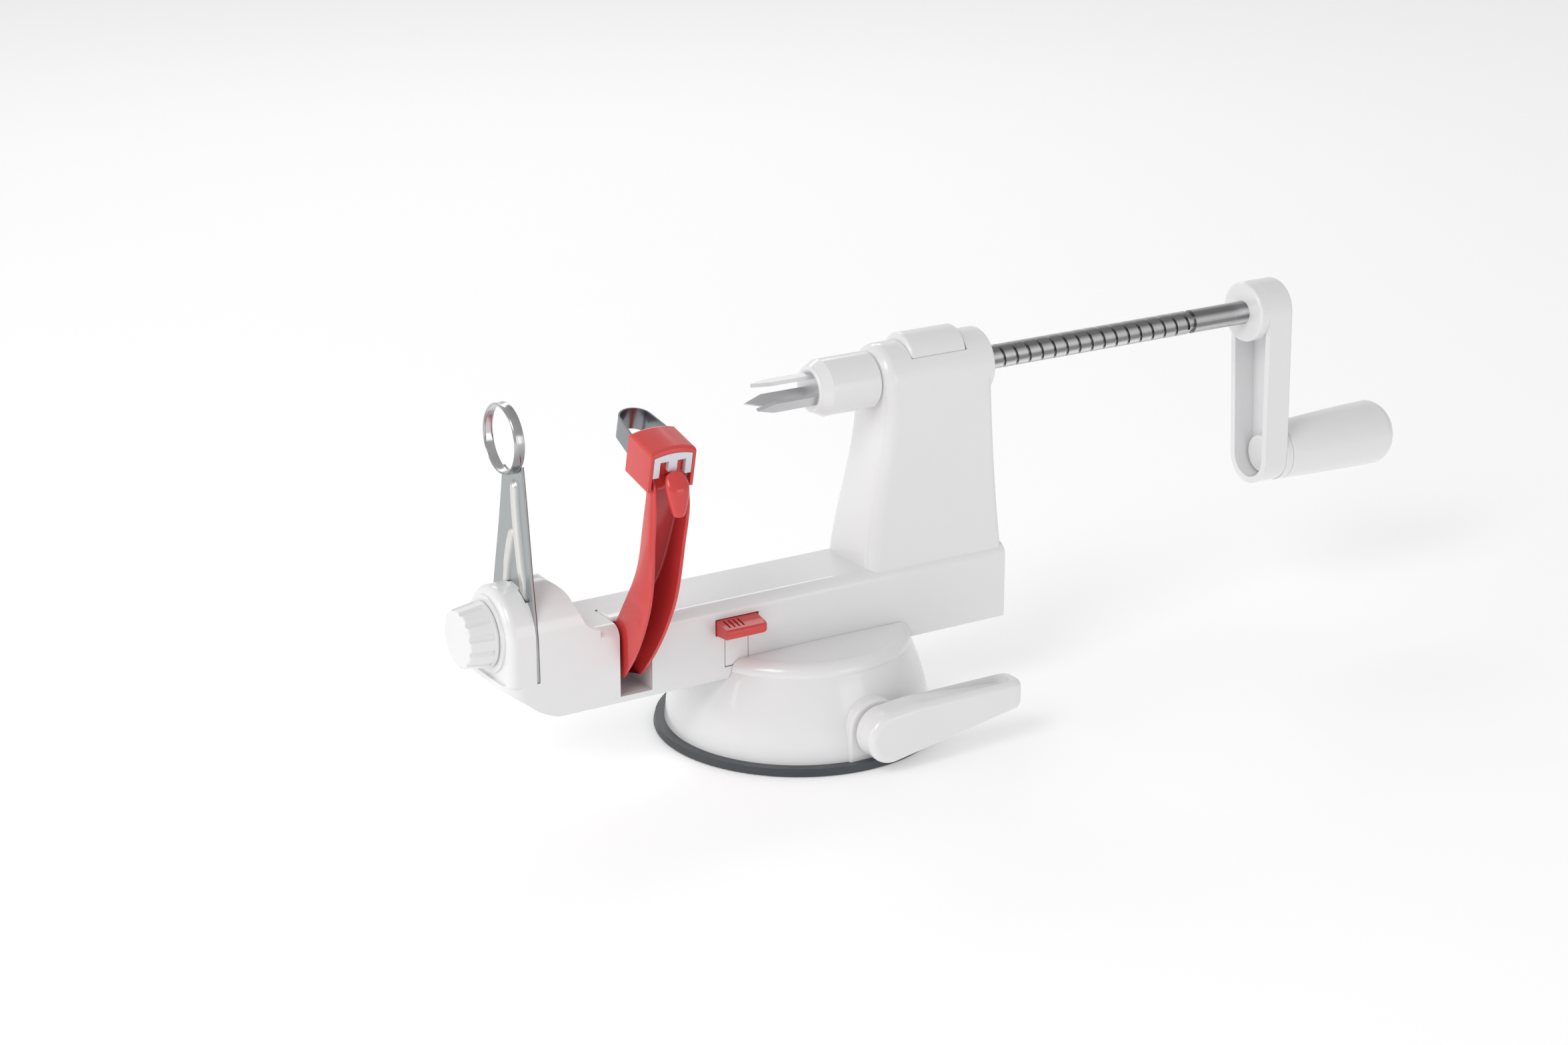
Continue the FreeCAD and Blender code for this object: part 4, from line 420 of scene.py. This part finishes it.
# %% One material for each node
FINISH = {
    white_gloss: ["base_dome", "suction_lever", "frame", "floor_plate", "barrel_bush", "spindle_sleeve",
                  "latch_cap", "fork_hub", "crank_arm", "crank_grip", "release_tongue", "blade_clamp"],
    white_satin: ["clamp_knob", "grip_pin"],
    red_gloss: ["peel_arm", "head_cap", "thumb_tab", "release_button"],
    clip_white: ["blade_clip"],
    foot_rubber: ["suction_cup", "cup_core"],
    turned_steel: ["spindle", "cam_shaft", "arm_pin", "crank_pin"],
    blade_steel: ["corer_blade"],
    loop_steel: ["loop_blade"],
    plain_steel: ["fork_prongs", "cup_stud", "base_screws", "floor_screws", "feed_tooth", "clamp_washer",
                  "clamp_stud", "clamp_nut"],
}
dressed = []
for material, names in FINISH.items():
    for name in names:
        piece = nodes[name]
        piece.data.materials.clear()
        piece.data.materials.append(material)
        dressed.append(name)
print("nodes without a finish:", sorted(set(nodes) - set(dressed)))

# %% [markdown]
# ## The coring blade
#
# The upright blade is one strip of steel. Two soft ribs are pressed into it for stiffness, and
# its top is drawn out into a ring that cuts the core. A pressed rib is a height on a flat
# sheet, so the strip is a height field: the same rise moves its front and its back. Cutting
# ribs with hard edges would look like bars laid on the strip. The ring is a profile carried
# round the spindle's axis, with a rolled edge on the left and a bevel that grows towards the
# strip.

# %% Two faces and the rim between them
def slab_skin(name, near, far, material):
    """Closed skin of a sheet from the grids of its two faces, joined round their border."""
    rows, columns = near.shape[:2]
    count = rows * columns
    face = grid_faces(rows, columns)
    grid = np.arange(count).reshape(rows, columns)
    border = np.concatenate([grid[0, :-1], grid[:-1, -1], grid[-1, :0:-1], grid[:0:-1, 0]])
    after = np.roll(border, -1)
    rim = np.stack([after, border, border + count, after + count], -1)
    faces = np.concatenate([face, face[:, ::-1] + count, rim])
    return mesh_piece(name, np.concatenate([near.reshape(-1, 3), far.reshape(-1, 3)]), faces, material)


def smooth_step(value, low, high):
    """Smooth ramp s = t^2 (3 - 2 t) with t the value's place between low and high."""
    t = np.clip((value - low) / (high - low), 0.0, 1.0)
    return t * t * (3.0 - 2.0 * t)


# %% The strip with its pressed ribs
RING_Z = 143.7
RING_MIDDLE_R = 13.6
STRIP_LOW = 50.2
STRIP_LEFT = -128.3
STRIP_STEEL = 1.2
RIB_RISE = 0.8
RIB_CREST = 1.35
RIB_GROWS_OVER = 8.0
RIB_FLAT, RIB_FOOT = 0.30, 1.15
CLAMP_TOP = 86.0
STRIP_FRONT = ((STRIP_LOW, 62.0, 91.3, 120.5, 134.5), (-18.8, -18.6, -15.3, -11.9, -10.0))
STRIP_BACK = ((STRIP_LOW, 73.0, 81.1, 109.2, 125.9, 134.5), (18.8, 18.7, 16.9, 10.3, 6.9, 5.4))
RIB_LONG = ((57.0, 83.0, 89.3, 99.9, 109.2, 118.2, 126.3), (-12.4, -8.9, -8.2, -6.4, -5.0, -4.0, -3.8))
RIB_SHORT = ((57.0, 84.7, 92.2, 97.3, 102.7, 108.0), (11.8, 5.6, 3.8, 2.3, 0.4, -2.2))
RIB_LONG_HALF, RIB_LONG_TOP = 3.0, 125.0
RIB_SHORT_HALF, RIB_SHORT_TOP = 3.2, 106.0
STRIP_ROWS, STRIP_COLUMNS = 281, 141


def rib_rise(y, z, line, half, top):
    """Share of the full rise: one on the rib's line, falling to nothing beside it, 1 - s(d / w)."""
    middle = through(z, *line)
    past = np.clip(z - top, 0.0, None)
    short = np.clip(line[0][0] - z, 0.0, None)
    away = np.sqrt((y - middle) ** 2 + past ** 2 + short ** 2)
    return 1.0 - smooth_step(away, half * RIB_FLAT, half * RIB_FOOT)


def blade_strip():
    """Height field over (y, z): x = x0 - h for the front face and x0 + t - h for the back."""
    across = np.linspace(0.0, 1.0, STRIP_COLUMNS)[None, :]
    along = np.linspace(0.0, 1.0, STRIP_ROWS)[:, None]
    top_y = STRIP_FRONT[1][-1] + (STRIP_BACK[1][-1] - STRIP_FRONT[1][-1]) * across
    top_z = RING_Z - np.sqrt(RING_MIDDLE_R ** 2 - top_y ** 2)
    z = STRIP_LOW + (top_z - STRIP_LOW) * along
    front, back = through(z, *STRIP_FRONT), through(z, *STRIP_BACK)
    y = front + (back - front) * across
    share = np.maximum(rib_rise(y, z, RIB_LONG, RIB_LONG_HALF, RIB_LONG_TOP),
                       rib_rise(y, z, RIB_SHORT, RIB_SHORT_HALF, RIB_SHORT_TOP))
    grown = smooth_step(z, CLAMP_TOP, CLAMP_TOP + RIB_GROWS_OVER)
    rise = share * (RIB_RISE + (RIB_CREST - RIB_RISE) * grown)
    near = mm(np.stack([STRIP_LEFT - rise, y, z], -1))
    far = mm(np.stack([STRIP_LEFT + STRIP_STEEL - rise, y, z], -1))
    piece = slab_skin("corer_strip", near, far, blade_steel)
    # The rib share goes on the mesh; the blade's steel uses it for painted highlight on the ribs.
    rib_highlight_share = piece.data.attributes.new("rise", "FLOAT", "POINT")
    rib_highlight_share.data.foreach_set("value", np.tile(share.ravel(), 2))
    return piece


# %% A hoop: a section carried all the way round
def hoop_skin(name, rings, material):
    """Skin over rings of points that close both ways: the last ring joins the first one."""
    return mesh_piece(name, rings, grid_faces(*rings.shape[:2], True, True), material)


# %% The ring with its rolled edge
RING_LEFT = -132.55
RING_RIGHT = -128.25
RING_OUTER_R = 13.90
RING_WAIST = 0.10
BEVEL_LEAST, BEVEL_MORE = 0.7, 2.6
BEVEL_AT, BEVEL_SPREAD = -0.75, 0.55
SLOPE_R = 13.72
RING_SECTIONS = 180
WAIST_POINTS, WAIST_FROM_RIGHT, WAIST_FROM_BEVEL = 7, 0.7, 0.15
SHOULDER = ((0.0, 13.45), (-0.12, 13.80), (-0.4, 13.93))
ROLLED_EDGE = ((0.30, 13.58), (0.10, 13.47), (0.0, 13.30), (0.08, 13.08), (0.25, 12.98), (0.55, 13.02),
               (0.85, 13.18), (1.15, 13.24), (1.5, 13.22), (2.4, 13.20))
INNER_END = ((-0.9, 13.20), (-0.35, 13.22), (-0.1, 13.30))


def ring_profile(bevel):
    """Closed profile of (x, r) pairs: shoulder, waisted outside, bevel, rolled edge and inside."""
    places = np.linspace(RING_RIGHT - WAIST_FROM_RIGHT, RING_LEFT + bevel + WAIST_FROM_BEVEL, WAIST_POINTS)
    outside = [(x, RING_OUTER_R - RING_WAIST * math.sin(t))
               for x, t in zip(places, np.linspace(0, math.pi, WAIST_POINTS))]
    slope = [(RING_LEFT + bevel, RING_OUTER_R), (RING_LEFT + bevel * 0.5, SLOPE_R)]
    right = [[(RING_RIGHT + x, r) for x, r in part] for part in (SHOULDER, INNER_END)]
    rolled = [(RING_LEFT + x, r) for x, r in ROLLED_EDGE]
    return np.array(right[0] + outside + slope + rolled + right[1])


def coring_ring():
    """Profile (x, r) carried round the axis: (x, -r cos a, z0 + r sin a), with a bevel b(a).

    The bevel is b0 + b1 exp(-((a - a0) / w)^2), widest where the ring meets the strip's front."""
    turn = full_turn(RING_SECTIONS)
    lean = np.exp(-((np.mod(turn + math.pi, 2 * math.pi) - math.pi - BEVEL_AT) / BEVEL_SPREAD) ** 2)
    rings = []
    for angle, bevel in zip(turn, BEVEL_LEAST + BEVEL_MORE * lean):
        x, r = ring_profile(bevel).T
        rings.append(np.stack([x, -r * math.cos(angle), RING_Z + r * math.sin(angle)], -1))
    return hoop_skin("corer_ring", mm(np.array(rings)), ring_steel)


strip, ring = blade_strip(), coring_ring()
for piece in (strip, ring):
    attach(piece, "base")
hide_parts("corer_blade")

# %% [markdown]
# ## The finger tab
#
# The tab that draws the arm back is a small thumb shape: a round brow that slopes up towards
# the arm, and a body that narrows to a rounded foot. A stack of rounded sections gives it in
# one skin. Each section is a superellipse, which is a circle that can be pushed towards a
# square, so the front stays a little flat as in the moulding.

# %% Sections stacked upwards
ARM_X = -85.2
TAB_HEIGHT = (119.9, 120.3, 121.2, 123.0, 126.5, 129.6, 131.6, 133.6, 135.4, 136.7, 137.3)
TAB_HALF = (0.7, 1.7, 2.4, 3.0, 3.9, 4.55, 4.68, 4.5, 3.8, 2.5, 0.8)
TAB_FRONT = (-54.3, -55.1, -55.6, -55.9, -56.0, -55.95, -55.6, -54.4, -53.0, -51.9, -51.2)
TAB_BACK = (-53.5, -52.6, -51.9, -51.3, -50.8, -50.5, -50.3, -50.1, -50.0, -50.1, -50.5)
TAB_POWER = 2.5
TAB_SECTIONS, TAB_POINTS = 60, 56
STEM_Z = 133.0
STEM_PLACE = (-52.4, -51.0, -49.0, -47.0, -46.05)
STEM_HALF_X = (1.55, 1.6, 1.65, 1.72, 1.79)
STEM_HALF_Z = (1.6, 1.65, 1.75, 1.88, 1.99)
STEM_POWER = 3.0
STEM_SECTIONS, STEM_POINTS = 24, 40


def superellipse(across, deep, power, count):
    """Points (a sgn(cos t) |cos t|^(2/n), b sgn(sin t) |sin t|^(2/n)) round one section."""
    t = full_turn(count)
    c, s = np.cos(t), np.sin(t)
    return np.stack([across * np.sign(c) * np.abs(c) ** (2 / power),
                     deep * np.sign(s) * np.abs(s) ** (2 / power)], -1)


def finger_tab():
    """Level sections (x0 + u, (f + b) / 2 + v, z) between a front line f and a back line b."""
    levels = through(np.linspace(0, 1, TAB_SECTIONS), np.linspace(0, 1, len(TAB_HEIGHT)), TAB_HEIGHT)
    rings = []
    for z in levels:
        half, front, back = (through(z, TAB_HEIGHT, values) for values in (TAB_HALF, TAB_FRONT, TAB_BACK))
        flat = superellipse(half, (back - front) / 2, TAB_POWER, TAB_POINTS)
        rings.append(np.column_stack([ARM_X + flat[:, 0], (front + back) / 2 + flat[:, 1],
                                      np.full(len(flat), z)]))
    return mm(np.array(rings))


def tab_stem():
    """Short bar from the tab to the arm, round in section and wider where it joins the arm."""
    rings = []
    for y in np.linspace(STEM_PLACE[0], STEM_PLACE[-1], STEM_SECTIONS):
        flat = superellipse(through(y, STEM_PLACE, STEM_HALF_X), through(y, STEM_PLACE, STEM_HALF_Z),
                            STEM_POWER, STEM_POINTS)
        rings.append(np.column_stack([ARM_X + flat[:, 0], np.full(len(flat), y), STEM_Z - flat[:, 1]]))
    return mm(np.array(rings))


tab = ring_skin("finger_tab", finger_tab(), red_gloss)
stem = ring_skin("finger_tab_stem", tab_stem(), red_gloss)
for piece in (tab, stem):
    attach(piece, "arm")
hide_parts("thumb_tab")
print("tab triangles:", sum(len(p.vertices) - 2 for p in tab.data.polygons))

# %% [markdown]
# ## The peeling arm
#
# The arm is a moulded channel, open to the front, that bows from its pivot up to the head. Its
# walls are thin, so the channel looks deep. Its inside is darkened with painted shade: a darker
# red is mixed in towards the channel's bottom. One section, an upright U with rounded
# corners, is drawn at each station between a back line and a front line, and the sections are
# joined into one skin. The two lines follow the back and the front edge of the arm as seen
# from its side: first the round foot, then the long bow.

# %% A section with rounded corners
ARC_POINTS = 4


def rounded_corners(corners, radii):
    """Closed outline: each corner c becomes an arc of radius r that touches both of its sides.

    The arc's middle lies at c + (u + v) r / sin(a) with u and v the sides' directions, a their angle."""
    corners = np.asarray(corners, float)
    before, after = np.roll(corners, 1, 0) - corners, np.roll(corners, -1, 0) - corners
    u = before / np.linalg.norm(before, axis=1, keepdims=True)
    v = after / np.linalg.norm(after, axis=1, keepdims=True)
    sine = np.abs(u[:, 0] * v[:, 1] - u[:, 1] * v[:, 0])
    middle = corners + (u + v) * (np.asarray(radii) / sine)[:, None]
    points = []
    for c, m, a, b in zip(corners, middle, u, v):
        start, end = c + a * np.dot(m - c, a) - m, c + b * np.dot(m - c, b) - m
        for s in np.linspace(0, 1, ARC_POINTS):
            way = start * (1 - s) + end * s
            points.append(m + way / np.linalg.norm(way) * np.linalg.norm(start))
    return np.array(points)


# %% Back line, front line and the channel between them
ARM_WALL = 1.5
ARM_WEB = 1.2
WEB_LIMIT = 0.4
BACK_ROUND, WEB_ROUND, RIM_ROUND = 1.3, 0.9, 0.55
# Share of painted shade at each corner of the section, most at the channel's bottom.
CORNER_PAINTED_SHADE = (0.0, 0.0, 0.4, 1.0, 1.0, 0.4, 0.0, 0.0)
ARM_SECTIONS = 150
ARM_HALF = ((43.0, 60.0, 95.0, 126.0, 129.0, 131.0, 138.0), (4.70, 5.33, 6.62, 7.70, 7.55, 7.20, 7.10))
BACK_LINE = ((0.0, 0.03, 0.06, 0.09, 0.15, 0.36, 0.60, 0.74, 0.90, 1.0),
             (-8.0, -3.6, -1.7, -1.9, -5.8, -19.6, -31.5, -36.4, -41.6, -42.6),
             (43.6, 45.6, 49.6, 53.0, 58.2, 77.0, 95.0, 107.8, 126.0, 137.0))
FRONT_LINE = ((0.0, 0.03, 0.06, 0.09, 0.15, 0.36, 0.60, 0.74, 0.90, 0.93, 0.96, 1.0),
              (-15.8, -17.4, -19.2, -21.0, -24.6, -35.5, -43.4, -46.3, -48.95, -48.6, -46.4, -45.2),
              (43.0, 44.6, 46.6, 48.7, 53.0, 69.6, 89.4, 106.0, 126.0, 130.0, 133.0, 136.6))


def line_point(share, line):
    """The point (y, z) at a share of the way along a line of shares, y values and z values."""
    return np.array([through(share, line[0], line[1]), through(share, line[0], line[2])])


def arm_channel():
    """U sections carried from foot to head; the mesh keeps a share of painted shade for each point, most at
    the channel's bottom.
    """
    rings = []
    for s in np.linspace(0.0, 1.0, ARM_SECTIONS):
        back, front = line_point(s, BACK_LINE), line_point(s, FRONT_LINE)
        deep = np.linalg.norm(front - back)
        half = through((back[1] + front[1]) / 2, *ARM_HALF)
        room = half - ARM_WALL
        web = min(ARM_WEB, deep * WEB_LIMIT)
        corners = [(-half, 0), (-half, deep), (-room, deep), (-room, web), (room, web), (room, deep),
                   (half, deep), (half, 0)]
        flat = rounded_corners(corners, [BACK_ROUND, RIM_ROUND, RIM_ROUND, WEB_ROUND, WEB_ROUND, RIM_ROUND,
                                         RIM_ROUND, BACK_ROUND])
        way = (front - back) / deep
        rings.append(np.column_stack([ARM_X + flat[:, 0], back[0] + way[0] * flat[:, 1],
                                      back[1] + way[1] * flat[:, 1]]))
    piece = ring_skin("arm_channel", mm(np.array(rings)[:, ::-1]), red_channel)
    # Painted shade: each corner's share is stored on every section of the mesh.
    section = np.repeat(CORNER_PAINTED_SHADE, ARC_POINTS)[::-1]
    channel_shade = piece.data.attributes.new("channel_shade", "FLOAT", "POINT")
    channel_shade.data.foreach_set("value", np.concatenate([np.tile(section, len(rings)), [0.0, 0.0]]))
    return piece


BRIDGE_Y = -44.7
BRIDGE_HALF_X, BRIDGE_HALF_Y = 6.6, 1.3
BRIDGE_ROUND = 0.5
ROUND_LIMIT = 0.9
DEPTH_SHRINK = 0.9
BRIDGE_LEVELS = ((128.9, 0.9), (129.05, 0.35), (129.4, 0.0), (133.0, 0.0), (136.6, 0.0), (137.0, 0.35),
                 (137.1, 0.9))


def arm_bridge():
    """Plate across the channel's front under the head, that the finger tab grows out of."""
    rings = []
    for z, shrink in BRIDGE_LEVELS:
        a, b = BRIDGE_HALF_X - shrink, BRIDGE_HALF_Y - shrink * DEPTH_SHRINK
        corners = [(-a, -b), (a, -b), (a, b), (-a, b)]
        flat = rounded_corners(corners, [min(BRIDGE_ROUND, b * ROUND_LIMIT)] * len(corners))
        rings.append(np.column_stack([ARM_X + flat[:, 0], BRIDGE_Y + flat[:, 1], np.full(len(flat), z)]))
    return mm(np.array(rings))


PIVOT_Y, PIVOT_Z = -8.0, 50.0
ARM_COLLAR = ((-91.8, 3.6), (-91.75, 4.2), (-91.4, 4.55), (-90.9, 4.6), (-79.5, 4.6), (-79.0, 4.55),
              (-78.65, 4.2), (-78.6, 3.6))
COLLAR_POINTS = 64


def arm_collar():
    """Profile of (x, r) pairs turned round the pivot's axis: (x, y0 + r cos a, z0 + r sin a)."""
    turn = full_turn(COLLAR_POINTS)
    rings = [np.column_stack([np.full(len(turn), x), PIVOT_Y + r * np.cos(turn),
                              PIVOT_Z + r * np.sin(turn)]) for x, r in ARM_COLLAR]
    return mm(np.array(rings))


channel = arm_channel()
bridge = ring_skin("arm_bridge", arm_bridge(), red_gloss)
collar = ring_skin("arm_collar", arm_collar(), red_gloss)
for piece in (channel, bridge, collar):
    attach(piece, "arm")
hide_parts("peel_arm")
print("channel points:", len(channel.data.vertices), "wall in mm:", ARM_WALL)

# %% [markdown]
# ## A lip over the arm's slot
#
# Seen from above, the moulded beam closes over the back of the slot, right up to the arm. A
# thin lip at the level of the beam's top does this. Its front edge is rounded over, and the
# arm swings away from it.

# %% Lip behind the arm
LIP_LEFT, LIP_RIGHT = -92.3, -78.1
LIP_FRONT, LIP_BACK = -9.2, 2.0
LIP_TOP, LIP_THICK = 66.0, 1.9
LIP_ROUNDS = (0.05, 0.5, 1.2, 0.05)
LIP_SECTIONS = 9


def slot_lip():
    """Profile in (y, z) with a rounded front edge, drawn from the slot's left wall to its right."""
    low = LIP_TOP - LIP_THICK
    corners = [(LIP_BACK, low), (LIP_FRONT, low), (LIP_FRONT, LIP_TOP), (LIP_BACK, LIP_TOP)]
    flat = rounded_corners(corners, LIP_ROUNDS)
    rings = [np.column_stack([np.full(len(flat), x), flat[:, 0], flat[:, 1]])
             for x in np.linspace(LIP_LEFT, LIP_RIGHT, LIP_SECTIONS)]
    return mm(np.array(rings))


lip = ring_skin("slot_lip", slot_lip(), white_gloss)
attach(lip, "base")
print("lip in mm:", round(LIP_RIGHT - LIP_LEFT, 1), "by", round(LIP_BACK - LIP_FRONT, 1))

# %% [markdown]
# ## The skirt behind the knob
#
# The knob's back reaches down to the clamp's collar as a plain round skirt, so no gap shows
# there. It is a hoop of a small rectangle with rounded corners.

# %% Skirt of the knob
SKIRT_LEFT, SKIRT_RIGHT = -141.8, -140.85
SKIRT_IN, SKIRT_OUT = 7.3, 12.9
SKIRT_ROUNDS = (0.1, 0.1, 0.3, 0.1)
SKIRT_SECTIONS = 96
KNOB_Z = 66.8


def knob_skirt():
    """The rectangle in (x, r) carried round the knob's axis: (x, r cos a, z0 + r sin a)."""
    corners = [(SKIRT_LEFT, SKIRT_IN), (SKIRT_RIGHT, SKIRT_IN), (SKIRT_RIGHT, SKIRT_OUT),
               (SKIRT_LEFT, SKIRT_OUT)]
    flat = rounded_corners(corners, SKIRT_ROUNDS)
    rings = [np.column_stack([flat[:, 0], flat[:, 1] * math.cos(a), KNOB_Z + flat[:, 1] * math.sin(a)])
             for a in full_turn(SKIRT_SECTIONS)]
    return hoop_skin("knob_skirt", mm(np.array(rings)), white_satin)


skirt = knob_skirt()
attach(skirt, "knob")
print("skirt radius in mm:", SKIRT_OUT)

# %% [markdown]
# ## Faces that point outward
#
# A skin whose faces point inward renders with wrong bumps. The signed volume of a closed mesh
# tells: the sum of a . (b x c) / 6 over its triangles is positive when all faces point out.

# %% Signed volume of each new piece
CUBIC_CM = 1e6


def signed_volume(piece):
    """Sum of a . (b x c) / 6 over the fans of all faces, in cubic centimetres."""
    total = 0.0
    points = [v.co for v in piece.data.vertices]
    for face in piece.data.polygons:
        a = points[face.vertices[0]]
        for j, k in zip(face.vertices[1:-1], face.vertices[2:]):
            total += a.dot(points[j].cross(points[k])) / 6
    return total * CUBIC_CM


made = [o for o in bpy.data.objects if o.type == "MESH" and o.name not in nodes]
for piece in made:
    if signed_volume(piece) < 0:
        piece.data.flip_normals()
print("new pieces, cubic centimetres:", {o.name: round(signed_volume(o), 2) for o in made})

# %% [markdown]
# ## Stage, light and camera
#
# The peeler stands on a pale floor that runs back into a pale wall, under large soft lights.
# The camera stands in front, to the left and a little above, with a long lens that keeps the
# upright lines nearly parallel.

# %% Floor with a swept back
FLOOR_FRONT = 9.0
FLOOR_HALF_WIDE = 14.4
WALL_HIGH = 9.0
SWEEP_Y = 7.0
SWEEP_R = 2.0
SWEEP_POINTS = 16
FLOOR_TONE = (0.93, 0.93, 0.93, 1)
FLOOR_GLOW = 0.22
FLOOR_ROUGHNESS = 0.65


def stage_floor():
    """Floor and wall in one sheet: flat, then a quarter circle of radius r, then upright.

    The profile point at angle a of the quarter is (y0 + r sin a, r - r cos a)."""
    turn = np.linspace(0, math.pi / 2, SWEEP_POINTS)
    y = np.concatenate([[-FLOOR_FRONT], SWEEP_Y + SWEEP_R * np.sin(turn), [SWEEP_Y + SWEEP_R]])
    z = np.concatenate([[0.0], SWEEP_R - SWEEP_R * np.cos(turn), [WALL_HIGH]])
    x = np.broadcast_to([-FLOOR_HALF_WIDE, FLOOR_HALF_WIDE], (len(y), 2))
    return np.stack([x, np.repeat(y[:, None], 2, 1), np.repeat(z[:, None], 2, 1)], -1)


floor_material = bpy.data.materials.new("pale_floor")
floor_material.use_nodes = True
floor_shader = floor_material.node_tree.nodes["Principled BSDF"]
floor_shader.inputs["Base Color"].default_value = FLOOR_TONE
floor_shader.inputs["Emission Color"].default_value = (1, 1, 1, 1)
floor_shader.inputs["Emission Strength"].default_value = FLOOR_GLOW
floor_shader.inputs["Roughness"].default_value = FLOOR_ROUGHNESS
sheet = stage_floor()
floor = mesh_piece("floor", sheet, grid_faces(*sheet.shape[:2]), floor_material)
print("floor corners:", len(floor.data.vertices))


# %% Soft boxes
MIDDLE = (0.05, 0.0, 0.08)
ROOM_LIGHT = 0.56


def soft_box(name, place, size, power):
    """Square area light that looks at the peeler's middle; power in watts."""
    light = bpy.data.lights.new(name, "AREA")
    light.shape = "RECTANGLE"
    light.size, light.size_y = size
    light.energy = power
    lamp = bpy.data.objects.new(name, light)
    bpy.context.scene.collection.objects.link(lamp)
    lamp.location = place
    lamp.rotation_euler = (Vector(MIDDLE) - Vector(place)).to_track_quat("-Z", "Y").to_euler()


soft_box("key", place=(-1.2, -0.6, 1.2), size=(0.7, 0.7), power=7.6)
soft_box("side", place=(-1.4, 0.3, 0.5), size=(0.7, 0.6), power=3.6)
soft_box("fill", place=(0.6, -1.6, 0.3), size=(0.7, 0.7), power=2.2)
soft_box("back", place=(0.5, 1.3, 1.0), size=(0.8, 0.4), power=2.2)

world = bpy.data.worlds.new("soft_room")
world.use_nodes = True
world.node_tree.nodes["Background"].inputs["Color"].default_value = (1, 1, 1, 1)
world.node_tree.nodes["Background"].inputs["Strength"].default_value = ROOM_LIGHT
bpy.context.scene.world = world
print("lights in watts:", {light.name: round(light.energy, 1) for light in bpy.data.lights})

# %% Camera of the photograph
CAMERA_PLACE = (-0.62028, -1.00544, 0.50085)
CAMERA_RIGHT = (0.85350, -0.52108, 0.0)
CAMERA_UP = (0.17257, 0.28266, 0.94357)
SENSOR = 36.0
LENS = 71.17
camera_data = bpy.data.cameras.new("photo_camera")
camera_data.sensor_width = SENSOR
camera_data.lens = LENS
camera = bpy.data.objects.new("photo_camera", camera_data)
right, up = Vector(CAMERA_RIGHT), Vector(CAMERA_UP)
turn = Matrix((right, up, right.cross(up))).transposed()
camera.matrix_world = Matrix.Translation(CAMERA_PLACE) @ turn.to_4x4()
bpy.context.scene.collection.objects.link(camera)
bpy.context.scene.camera = camera
bpy.context.scene.view_settings.view_transform = "Standard"
print("lens in mm:", LENS)
